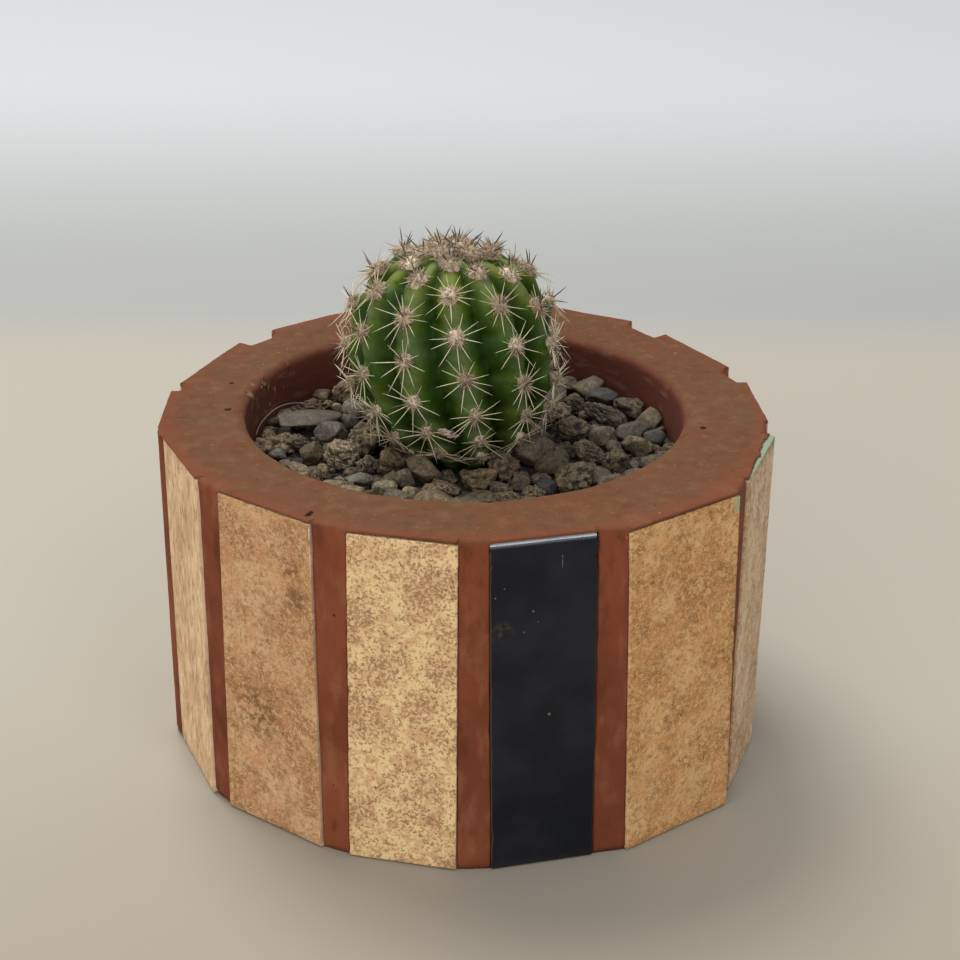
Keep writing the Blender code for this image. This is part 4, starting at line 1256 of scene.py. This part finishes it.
def scattered_stones(rng):
    """Stones of falling size in the room that the seen ones leave, by throwing darts."""
    taken = [(stone.x, stone.y, max(stone.length, stone.width) * 0.92) for stone in SEEN_STONES]
    found = []
    for low, high, tries in SCATTERED_STONES:
        for _ in range(tries):
            radius = rng.uniform(low, high)
            x, y = random_spot(CAVITY_RADIUS, rng)
            if math.hypot(x - CAVITY_CENTRE[0], y) > wall_radius(BED_TOP) - 0.75 * radius:
                continue
            if from_plant(x, y) < STONE_FROM_AXIS + 0.7 * radius:
                continue
            if any(math.hypot(x - a, y - b) < 0.86 * (radius + size) for a, b, size in taken):
                continue
            taken.append((x, y, radius))
            found.append((x, y, radius))
    return found


def make_gravel():
    rng = np.random.default_rng(GRAVEL_SEED)
    heaps = {kind: Heap() for kind in STONE_KINDS}
    for stone in SEEN_STONES:
        add_stone(heaps, stone, 5 if stone.length > 0.0016 else 4, rng)
    kind_shares = [share for share, _, _ in STONE_KINDS.values()]
    for x, y, radius in scattered_stones(rng):
        kind = rng.choice(list(STONE_KINDS), p=kind_shares)
        tone = STONE_TONES[kind][rng.integers(4)]
        high = BED_TOP + radius * rng.uniform(0.35, 0.75)
        sizes = radius * np.array([rng.uniform(1.0, 1.25), rng.uniform(0.8, 1.0), rng.uniform(0.6, 0.85)])
        stone = Stone(kind, x, y, high, *sizes, rng.uniform(0.0, 180.0), tone)
        add_stone(heaps, stone, 4 if radius > 0.0019 else 3, rng)
    for _ in range(CRUMB_TRIES):
        x, y = random_spot(CRUMB_REACH, rng)
        if from_plant(x, y) < CRUMB_FROM_AXIS:
            continue
        kind = rng.choice(("broken", "pumice"))
        radius = rng.uniform(0.0005, 0.0010)
        tone = np.array(STONE_TONES[kind][rng.integers(4)]) * CRUMB_SHADE
        high = BED_TOP + rng.uniform(0.0002, 0.0012)
        add_stone(heaps, Stone(kind, x, y, high, radius, radius * 0.85, radius * 0.7, 0.0, tone), 3, rng)
    for kind, (_, roughness, relief) in STONE_KINDS.items():
        name = f"{kind}_stones"
        put(heaps[kind].make(name, stone_material(name, roughness, relief)), "gravel")
    make_bed()


def stone_material(name, roughness, relief):
    """Stone in each one's own tone, mottled, dusty, and with painted shade darkening its pores and creases."""
    nodes = Nodes(name, roughness)
    mottle = nodes.noise(0.0011, 1.0, detail=5.0, roughness=0.75)
    grains = nodes.noise(0.00028, 3.0, detail=2.0)
    tone = nodes.attribute("tone", "Color")
    dark = nodes.tinted(tone, (0.42, 0.40, 0.37))
    light = nodes.tinted(tone, (1.68, 1.64, 1.55))
    mottled = nodes.blend(nodes.remap(mottle, 0.36, 0.64, smooth=False), dark, light)
    grain = nodes.grade(grains, 0.40, 0.60, (0.50, 0.48, 0.45), (1.50, 1.50, 1.47))
    nodes.base = nodes.blend(0.75, mottled, grain, "MULTIPLY")
    # Painted shade: pores and creases are darkened.
    nodes.lay(nodes.tinted(tone, (0.22, 0.19, 0.16)), nodes.attribute("pore"), 0.15, 0.90, 0.92)
    return nodes.done(mottle, relief)


def make_bed():
    """Grit between the stones, its dark colour partly painted shade of the deep gaps: a closed ring with a
    rough top.
    """
    way = outward(np.arange(BED_COLUMNS) * 360.0 / BED_COLUMNS)
    outer = CAVITY_CENTRE + way * (wall_radius(BED_TOP) - WALL_CLEARANCE)
    inner = plant_axis(BED_TOP) + way * BED_INNER_RADIUS
    top = mix(outer, inner, np.linspace(0.0, 1.0, BED_ROWS)[:, None, None]) + UP * BED_TOP
    top[1:-1] += UP * (0.00045 * rough(top[1:-1], 0.0016, 4))[..., None]
    grid = np.concatenate(([outer + UP * BED_LOW], top, [inner + UP * BED_LOW]))
    faces = ring_faces(len(grid), BED_COLUMNS, closed_rows=True)
    nodes = Nodes("grit", 0.95)
    grains = nodes.noise(0.0010, 1.0, detail=4.0, roughness=0.65)
    # Very dark grit: partly painted shade of the deep gaps between the stones.
    nodes.base = nodes.grade(grains, 0.35, 0.70, (0.012, 0.009, 0.006), (0.058, 0.044, 0.031))
    put(add_mesh("grit_bed", grid, faces, nodes.done(grains, 0.0003)), "gravel", "gravel")


# Cactus


def meridian_point(turn):
    """Radius and height on the body's side view: turn 90 is the crown, 0 the waist, NECK_TURN the neck."""
    rise, power = (CROWN_RISE, CROWN_POWER) if turn > 0.0 else (-LOWER_DROP, LOWER_POWER)
    angle = math.radians(abs(turn))
    radius = BODY_RADIUS * max(math.cos(angle), 0.0) ** (2.0 / power)
    return radius, WAIST_HEIGHT + rise * math.sin(angle) ** (2.0 / power)


def measured_meridian():
    """Distance from the crown, radius and height in small steps down the body's side."""
    points = np.array([meridian_point(turn) for turn in np.linspace(90.0, NECK_TURN, 1200)])
    steps = np.hypot(*np.diff(points, axis=0).T)
    return np.concatenate(([0.0], np.cumsum(steps))), points[:, 0], points[:, 1]


MERIDIAN = measured_meridian()


def side_view(distances):
    """Radius and height of the plain body at distances from the crown."""
    return np.interp(distances, MERIDIAN[0], MERIDIAN[1]), np.interp(distances, MERIDIAN[0], MERIDIAN[2])


def areole_distance(step):
    """How far from the crown an areole sits: the steps are nearly even, and crowd towards the foot."""
    crowding = np.where(step > 0.5, AREOLE_CROWDING_HIGH, AREOLE_CROWDING_LOW)
    return AREOLE_MIDDLE - AREOLE_STEP * step + crowding * (step - 0.5) ** 3 / 3.0


def rib_azimuth(rib_position, height):
    """The azimuth of a ridge, or of a place between two of them, on the slightly twisted body."""
    turns = np.append(RIB_AZIMUTHS, RIB_AZIMUTHS[0] + 360.0)
    at_waist = np.interp(rib_position, np.arange(RIB_COUNT + 1), turns)
    return at_waist + RIB_TWIST * (WAIST_HEIGHT - height)


def plant_axis(height):
    """The centre line leans: it stands further right at the gravel than at the waist."""
    share = np.clip((WAIST_HEIGHT - np.asarray(height)) / (WAIST_HEIGHT - BED_TOP), 0.0, 1.0)
    return PLANT_CENTRE + np.array([PLANT_LEAN, 0.0, 0.0]) * share[..., None]


def step_shift(rib):
    """The share of a step by which a rib's areoles sit above those of the first rib."""
    return -(rib % RIB_COUNT * AREOLE_STEP_SHIFT % 1.0)


def skin(distances, rib_positions):
    """Points of the ribbed skin, with how far across its rib each lies and the pale stripe's strength."""
    radius, height = side_view(distances)
    rib = np.round(rib_positions)
    across = np.abs(rib_positions - rib) * 2.0
    gaps = distances[..., None] - areole_distance(np.arange(*STEPS_IN_REACH) + step_shift(rib)[..., None])
    chins = 0.5 + 0.5 * np.cos(math.pi * np.clip((gaps - CHIN_BELOW) / CHIN_REACH, -1.0, 1.0))
    chin = chins.max(axis=-1)
    notch = np.exp(-(((gaps + NOTCH_ABOVE) / NOTCH_REACH) ** 2)).max(axis=-1)
    body = smoothstep(0.30, 0.55, radius / BODY_RADIUS) * smoothstep(0.0500, 0.0540, height)
    depth = RIB_DEPTH * np.minimum(1.0, radius / FULL_RIB_RADIUS)
    young = smoothstep(0.024, 0.010, distances)
    flank = mix(np.sin(math.pi / 2.0 * across**1.5) ** 2, across**2.4, young)
    ribbed = radius - depth * flank * (1.0 + 0.35 * notch)
    ribbed += body * (CHIN_HEIGHT * chin * (1.0 - across**2) - 0.00045 * notch * (1.0 - across))
    azimuth = rib_azimuth(rib_positions, height)
    points = plant_axis(height) + outward(azimuth) * ribbed[..., None] + UP * height[..., None]
    below = np.where(gaps > 0.0, gaps, 1.0).min(axis=-1)
    stripe = smoothstep(0.0004, 0.0016, below) * smoothstep(0.0075, 0.0035, below)
    stripe = stripe * np.exp(-((across / 0.34) ** 2))
    return points, across, stripe


def with_neck(values, on_neck, at_tips):
    """One number for each point of the body, from the neck up to the crown, and for its two tips."""
    neck = np.broadcast_to(on_neck, (NECK_ROWS, values.shape[1]))
    return np.append(np.concatenate((values, neck))[::-1].ravel(), at_tips)


def make_body():
    rib_positions = np.arange(RIB_COUNT * SKIN_COLUMNS_PER_RIB) / SKIN_COLUMNS_PER_RIB
    distances = np.linspace(0.0, MERIDIAN[0][-1], SKIN_ROWS + 1)[1:]
    grid_distances, grid_ribs = np.meshgrid(distances, rib_positions, indexing="ij")
    points, across, stripe = skin(grid_distances, grid_ribs)
    neck_height = MERIDIAN[2][-1]
    start = (points[-1] - plant_axis(neck_height)) * LEVEL
    narrowing = NECK_END_RADIUS / np.linalg.norm(start, axis=1, keepdims=True)
    neck = []
    for share in np.linspace(0.0, 1.0, NECK_ROWS + 1)[1:]:
        height = mix(neck_height, NECK_END_HEIGHT, share)
        neck.append(plant_axis(height) + start * mix(1.0, narrowing, share) + UP * height)
    grid = np.concatenate((points, neck))[::-1]
    crown = plant_axis(WAIST_HEIGHT + CROWN_RISE) + UP * (WAIST_HEIGHT + CROWN_RISE)
    foot = plant_axis(NECK_TIP_HEIGHT) + UP * NECK_TIP_HEIGHT
    points, faces = capped_grid(grid, foot, crown)
    attributes = {
        "across": with_neck(across, across[-1], (0.0, 0.0)),
        "stripe": with_neck(stripe, 0.0, (0.0, 0.0)),
        "from_crown": with_neck(grid_distances * MM_PER_M, distances[-1] * MM_PER_M, (FOOT_FROM_CROWN, 0.0)),
    }
    piece = add_mesh("plant_body", points, faces, skin_material(), attributes)
    relief = 0.00005 * lumps(points, 0.0022, 3) + 0.00002 * lumps(points, 0.0008, 4)
    move_points(piece, points + point_normals(piece) * relief[:, None])
    put(piece, "cactus", "cactus")


def skin_material():
    """Waxy green skin: yellower near the crown with painted highlight on its ridges, dark below with painted
    shade in the grooves, and a pale bloom under each areole.
    """
    nodes = Nodes("cactus_skin", 0.5, Specular_IOR_Level=0.07)
    from_crown = nodes.attribute("from_crown")
    across = nodes.attribute("across")
    clouds = nodes.noise(0.0060, 1.0)
    young = nodes.remap(from_crown, 24.0, 9.0)
    ridge_highlight = nodes.times(nodes.remap(across, 0.15, 0.85, 1.0, 0.0), young)
    mottled = nodes.noise(0.0013, 5.0, detail=4.0, roughness=0.65)
    groove_shade = nodes.times(nodes.remap(across, 0.25, 0.95), nodes.remap(young, 0.0, 1.0, 0.80, 0.65))
    stripe = nodes.times(nodes.attribute("stripe"), nodes.remap(clouds, 0.3, 0.6, 0.5, 1.0))
    nodes.base = nodes.grade(clouds, 0.40, 0.60, (0.024, 0.062, 0.003), (0.062, 0.104, 0.008))
    nodes.lay((0.056, 0.086, 0.002), young, strength=0.85)
    # Painted highlight: lighter yellow ridges near the crown.
    nodes.lay((0.160, 0.172, 0.006), ridge_highlight, strength=0.6)
    nodes.lay((0.060, 0.080, 0.026), from_crown, 30.0, 44.0, 0.50)
    nodes.lay((0.045, 0.098, 0.040), nodes.noise(0.0085, 2.0, detail=2.0), 0.50, 0.64, 0.50)
    nodes.lay((0.125, 0.150, 0.050), mottled, 0.54, 0.70, 0.45)
    nodes.lay((0.014, 0.034, 0.004), mottled, 0.46, 0.32, 0.50)
    # Painted shade: darker grooves between the ribs.
    nodes.lay((0.008, 0.024, 0.001), groove_shade)
    nodes.lay((0.170, 0.225, 0.095), stripe, strength=0.65)
    nodes.roughness(stripe, 0.0, 1.0, 0.42, 0.65)
    return nodes.done(nodes.noise(0.00035, 3.0, detail=2.0), 0.00003)


Areole = namedtuple("Areole", "distance point normal upward across high")


def areole_at(distance, rib):
    spots = np.array([distance, distance + AREOLE_PROBE])
    points, _, _ = skin(spots, np.full(2, float(rib)))
    radii, heights = side_view(spots)
    azimuth = rib_azimuth(rib, heights[0])
    upward = unit(outward(azimuth) * (radii[0] - radii[1]) + UP * (heights[0] - heights[1]))
    across = outward(azimuth + 90.0)
    high = 1.0 - min(distance / areole_distance(AREOLE_STEPS[0]), 1.0)
    return Areole(distance, points[0], np.cross(across, upward), upward, across, high)


def all_areoles():
    areoles = []
    for rib, step in itertools.product(range(RIB_COUNT), AREOLE_STEPS):
        distance = areole_distance(step + step_shift(rib))
        _, height = side_view(distance)
        if distance >= NEAREST_AREOLE and height >= LOWEST_AREOLE:
            areoles.append(areole_at(distance, rib))
    return areoles


def crown_lift(areole):
    """How far an areole's wool and spines stand out from the skin: most at the crown."""
    return CROWN_LIFT * smoothstep(0.0065, 0.0015, areole.distance)


def in_frame(areole, local):
    """Local (across, upward, out) vectors of an areole, in the part's frame."""
    return local @ np.stack((areole.across, areole.upward, areole.normal))


def add_wool(areole, pads, hairs, rng):
    radius = min(mix(*WOOL_RADIUS, areole.high), WOOL_LARGEST) * rng.uniform(0.92, 1.08)
    points, faces = BALLS[4 if areole.high > FINE_WOOL_FROM else 3]
    shape = radius * WOOL_SHAPE
    tufts = rough(points + areole.point * 4000.0, 0.42)
    dome = points * shape * (0.90 + 0.24 * tufts)[:, None]
    centre = areole.point + areole.normal * crown_lift(areole)
    pads.add(centre + in_frame(areole, dome), faces, light=rng.uniform(0.0, 1.0))

    count = round(mix(*WOOL_HAIRS, areole.high))
    spread = unit(rng.normal(size=(count, 3)) * np.array([1.0, 1.0, 0.8]) + np.array([0.0, 0.0, 0.45]))
    spread[:, 2] = np.abs(spread[:, 2])
    lengths = rng.uniform(*WOOL_HAIR_LENGTH, count) * mix(0.8, 1.15, areole.high)
    root = spread * shape * 0.8
    ways = unit(spread + rng.normal(size=(count, 3)) * 0.42)
    curls = rng.normal(size=(count, 3)) * 0.28
    reach = lengths[:, None, None] * WOOL_HAIR_SHARES[None, :, None]
    paths = root[:, None] + ways[:, None] * reach
    paths = paths + curls[:, None] * reach * WOOL_HAIR_SHARES[None, :, None]
    hairs["paths"].append(centre + in_frame(areole, paths))
    hairs["light"].append(rng.uniform(0.0, 1.0, count))


def spine_plan(areole, rng):
    """(way, length, darkness, thickness) of every spine of an areole."""
    plans = []
    young = areole.distance < YOUNG_REACH
    count = rng.integers(*(YOUNG_COUNT if young else GROWN_COUNT))
    start = rng.uniform(0.0, 360.0)
    for i in range(count):
        around = math.radians(start + 360.0 * i / count + rng.uniform(-SPINE_SCATTER, SPINE_SCATTER))
        downness = 0.5 - 0.5 * math.cos(around)
        rise = math.radians(rng.uniform(*(YOUNG_RISE if young else GROWN_RISE)))
        if young:
            length = rng.uniform(*YOUNG_LENGTH)
            darkness = min(rng.uniform(*YOUNG_DARKNESS) + 0.5 * (1.0 - downness), 1.0)
        else:
            length = mix(*GROWN_LENGTH, downness) * rng.uniform(*GROWN_SPREAD)
            darkness = rng.uniform(*(OLD_DARKNESS if areole.distance > OLD_FROM else GROWN_DARKNESS))
        spread = areole.upward * math.cos(around) + areole.across * math.sin(around)
        way = spread * math.cos(rise) + areole.normal * math.sin(rise)
        plans.append((way, length, darkness, YOUNG_THICKNESS if young else 1.0))
    for _ in range(rng.integers(1, 4 if areole.distance < CENTRAL_CROWDED_TO else 3)):
        around = rng.uniform(0.0, math.tau)
        tilt = areole.upward * math.cos(around) + areole.across * math.sin(around)
        length = rng.uniform(*(YOUNG_CENTRAL_LENGTH if young else CENTRAL_LENGTH))
        way = unit(areole.normal + tilt * rng.uniform(*CENTRAL_TILT))
        plans.append((way, length, rng.uniform(*CENTRAL_DARKNESS), CENTRAL_THICKNESS))
    return plans


def add_spines(areole, spines, rng):
    for way, length, darkness, thickness in spine_plan(areole, rng):
        root = areole.point + areole.normal * (SPINE_ROOT + crown_lift(areole))
        way = clear_of_gravel(way, root, length)
        bend = rng.normal(size=3) * length * 0.035
        path = root + np.outer(SPINE_SHARES * length, way) + np.outer(SPINE_SHARES**2, bend)
        spines["paths"].append(path)
        spines["thickness"].append(thickness * rng.uniform(0.85, 1.1))
        spines["dark"].append(darkness)
        spines["old"].append(smoothstep(0.0660, 0.0560, root[2]) * rng.uniform(0.3, 1.0))


def clear_of_gravel(way, root, length):
    """Bends a spine up where its tip would reach the stones."""
    lowest = (SPINE_FLOOR - root[2]) / length
    if way[2] >= lowest or abs(lowest) >= 1.0:
        return way
    return unit(way * LEVEL) * math.sqrt(1.0 - lowest**2) + UP * lowest


def make_plant():
    rng = np.random.default_rng(PLANT_SEED)
    make_body()
    pads = Heap()
    hairs = {"paths": [], "light": []}
    spines = {"paths": [], "thickness": [], "dark": [], "old": []}
    for areole in all_areoles():
        add_wool(areole, pads, hairs, rng)
        add_spines(areole, spines, rng)
    put(pads.make("areole_pads", wool_material("areole_pad")), "cactus")

    paths = np.concatenate(hairs["paths"])
    radii = np.broadcast_to(WOOL_HAIR_RADII, (len(paths), len(WOOL_HAIR_RADII)))
    points, faces = strands(paths, radii, WOOL_HAIR_SIDES)
    light = np.repeat(np.concatenate(hairs["light"]), len(WOOL_HAIR_RADII) * WOOL_HAIR_SIDES)
    put(add_mesh("areole_wool", points, faces, wool_material("areole_wool"), {"light": light}), "cactus")

    paths = np.stack(spines["paths"])
    points, faces = strands(paths, np.outer(spines["thickness"], SPINE_RADII), SPINE_SIDES)
    per_spine = len(SPINE_SHARES) * SPINE_SIDES
    attributes = {
        "along": np.tile(np.repeat(SPINE_SHARES, SPINE_SIDES), len(paths)),
        "dark": np.repeat(spines["dark"], per_spine),
        "old": np.repeat(spines["old"], per_spine),
    }
    put(add_mesh("spines", points, faces, spine_material(), attributes), "cactus")


def wool_material(name):
    nodes = Nodes(name, 0.95, Specular_IOR_Level=0.1)
    nodes.base = nodes.blend(nodes.attribute("light"), (0.290, 0.205, 0.130), (0.700, 0.570, 0.420))
    nodes.lay((0.110, 0.070, 0.045), nodes.noise(0.0006, 1.0, detail=2.0), 0.52, 0.68, 0.65)
    return nodes.done()


def spine_material():
    """Straw-coloured spines, some darkening to brown tips, and dry brown ones low down."""
    nodes = Nodes("spine", 0.5, Specular_IOR_Level=0.3)
    along = nodes.attribute("along")
    nodes.base = nodes.blend(along, (0.60, 0.50, 0.30), (0.74, 0.68, 0.50))
    nodes.lay((0.30, 0.185, 0.115), nodes.attribute("old"))
    tip = nodes.times(nodes.remap(along, 0.0, 0.60, 0.55, 1.0), nodes.attribute("dark"))
    nodes.lay((0.034, 0.016, 0.013), tip)
    return nodes.done()


# Small loose things on the gravel


def make_fibre():
    """A pale root fibre that lies on the stones along the pot's wall."""
    corners = np.array([
        (-0.0388, 0.0010, 0.0552),
        (-0.0386, 0.0042, 0.0556),
        (-0.0379, 0.0066, 0.0560),
        (-0.0362, 0.0101, 0.0566),
        (-0.0340, 0.0116, 0.0570),
        (-0.0313, 0.0130, 0.0566),
        (-0.0300, 0.0131, 0.0560),
    ])
    steps = np.linspace(0.0, len(corners) - 1.0, FIBRE_STEPS)
    path = np.stack([np.interp(steps, range(len(corners)), corners[:, axis]) for axis in range(3)], axis=-1)
    for _ in range(FIBRE_SMOOTHINGS):
        path[1:-1] = (path[:-2] + 2.0 * path[1:-1] + path[2:]) / 4.0
    points, faces = strands(path[None], np.full((1, FIBRE_STEPS), FIBRE_RADIUS), FIBRE_SIDES)
    nodes = Nodes("root_fibre", 0.7)
    nodes.base = nodes.blend(nodes.noise(0.0015, 1.0), (0.13, 0.09, 0.075), (0.27, 0.21, 0.18))
    put(add_mesh("root_fibre", points, faces, nodes.done()), "gravel")


def make_scrap():
    """A dry, crumpled flake caught between two ribs, against the skin."""
    points, faces = BALLS[4]
    place = points * 9.0
    crumple = 1.0 + 0.35 * rough(place, 3.2, 2) + 0.25 * np.abs(lumps(place, 1.6, 7))
    points = points * crumple[:, None] * np.array(SCRAP_SIZE) + np.array(SCRAP_PLACE)
    points[:, 2] -= SCRAP_SLOPE * (points[:, 0] - SCRAP_PLACE[0])
    nodes = Nodes("dry_scrap", 0.9, Specular_IOR_Level=0.1)
    shade = nodes.noise(0.0007, 2.0)
    nodes.base = nodes.grade(shade, 0.42, 0.60, (0.16, 0.095, 0.065), (0.50, 0.36, 0.30))
    put(add_mesh("dry_scrap", points, faces.tolist(), nodes.done()), "cactus")


# Stage


def make_stage():
    bpy.ops.mesh.primitive_circle_add(vertices=96, radius=3.0, fill_type="NGON")
    floor = bpy.context.object
    floor.name = "floor"
    nodes = Nodes("floor", 0.7)
    depth = nodes.node("ShaderNodeSeparateXYZ", {"Vector": nodes.place}).outputs["Y"]
    # Painted shade: the floor darkens towards the front, and a greyer band further back is a painted shadow
    # along the foot of the paler backdrop.
    nodes.base = nodes.grade(depth, -0.12, 0.04, (0.290, 0.245, 0.190), (0.362, 0.328, 0.270))
    nodes.lay((0.300, 0.302, 0.286), depth, 0.17, 0.23)
    nodes.lay((0.465, 0.480, 0.485), depth, 0.22, 0.50)
    floor.data.materials.append(nodes.done())


def add_light(name, place, target, size, energy, colour):
    data = bpy.data.lights.new(name, "AREA")
    data.shape = "DISK"
    data.size = size
    data.energy = energy
    data.color = colour
    light = bpy.data.objects.new(name, data)
    light.location = place
    light.rotation_euler = (Vector(target) - Vector(place)).to_track_quat("-Z", "Y").to_euler()
    bpy.context.scene.collection.objects.link(light)


def make_lights():
    add_light("window", (-0.36, 0.55, 1.35), (0.0, 0.0, 0.04), 0.7, 17.0, (1.0, 0.99, 0.96))
    add_light("room", (-0.62, -1.05, 0.50), (0.0, 0.0, 0.03), 1.1, 6.8, (1.0, 0.98, 0.95))
    add_light("front", (0.46, -0.72, 0.93), (0.0, 0.0, 0.04), 0.45, 2.6, (0.88, 0.94, 1.0))
    world = bpy.data.worlds.new("daylight")
    world.use_nodes = True
    tree = world.node_tree
    background = tree.nodes["Background"]
    background.inputs["Color"].default_value = (0.95, 0.97, 1.0, 1.0)
    way = tree.nodes.new("ShaderNodeTexCoord")
    split = tree.nodes.new("ShaderNodeSeparateXYZ")
    strength = tree.nodes.new("ShaderNodeMapRange")
    strength.inputs["From Min"].default_value = -0.1
    strength.inputs["From Max"].default_value = 0.8
    strength.inputs["To Min"].default_value = 0.28
    strength.inputs["To Max"].default_value = 0.80
    tree.links.new(way.outputs["Generated"], split.inputs["Vector"])
    tree.links.new(split.outputs["Z"], strength.inputs["Value"])
    tree.links.new(strength.outputs["Result"], background.inputs["Strength"])
    bpy.context.scene.world = world
    bpy.context.scene.view_settings.view_transform = "Standard"


def make_camera():
    elevation = math.radians(CAMERA_ELEVATION)
    back = Vector((0.0, -math.cos(elevation), math.sin(elevation)))
    data = bpy.data.cameras.new("camera")
    data.lens = CAMERA_LENS
    data.sensor_width = CAMERA_SENSOR
    camera = bpy.data.objects.new("camera", data)
    camera.location = CAMERA_TARGET + back * CAMERA_DISTANCE
    camera.rotation_mode = "QUATERNION"
    roll = Quaternion((0.0, 0.0, 1.0), math.radians(CAMERA_ROLL))
    camera.rotation_quaternion = (-back).to_track_quat("-Z", "Y") @ roll
    bpy.context.scene.collection.objects.link(camera)
    bpy.context.scene.camera = camera


make_camera()
make_pot()
for tile_number, tile_frame in enumerate(TILES, start=1):
    make_tile(tile_number, tile_frame)
dress_soil()
make_gravel()
make_plant()
make_fibre()
make_scrap()
make_stage()
make_lights()
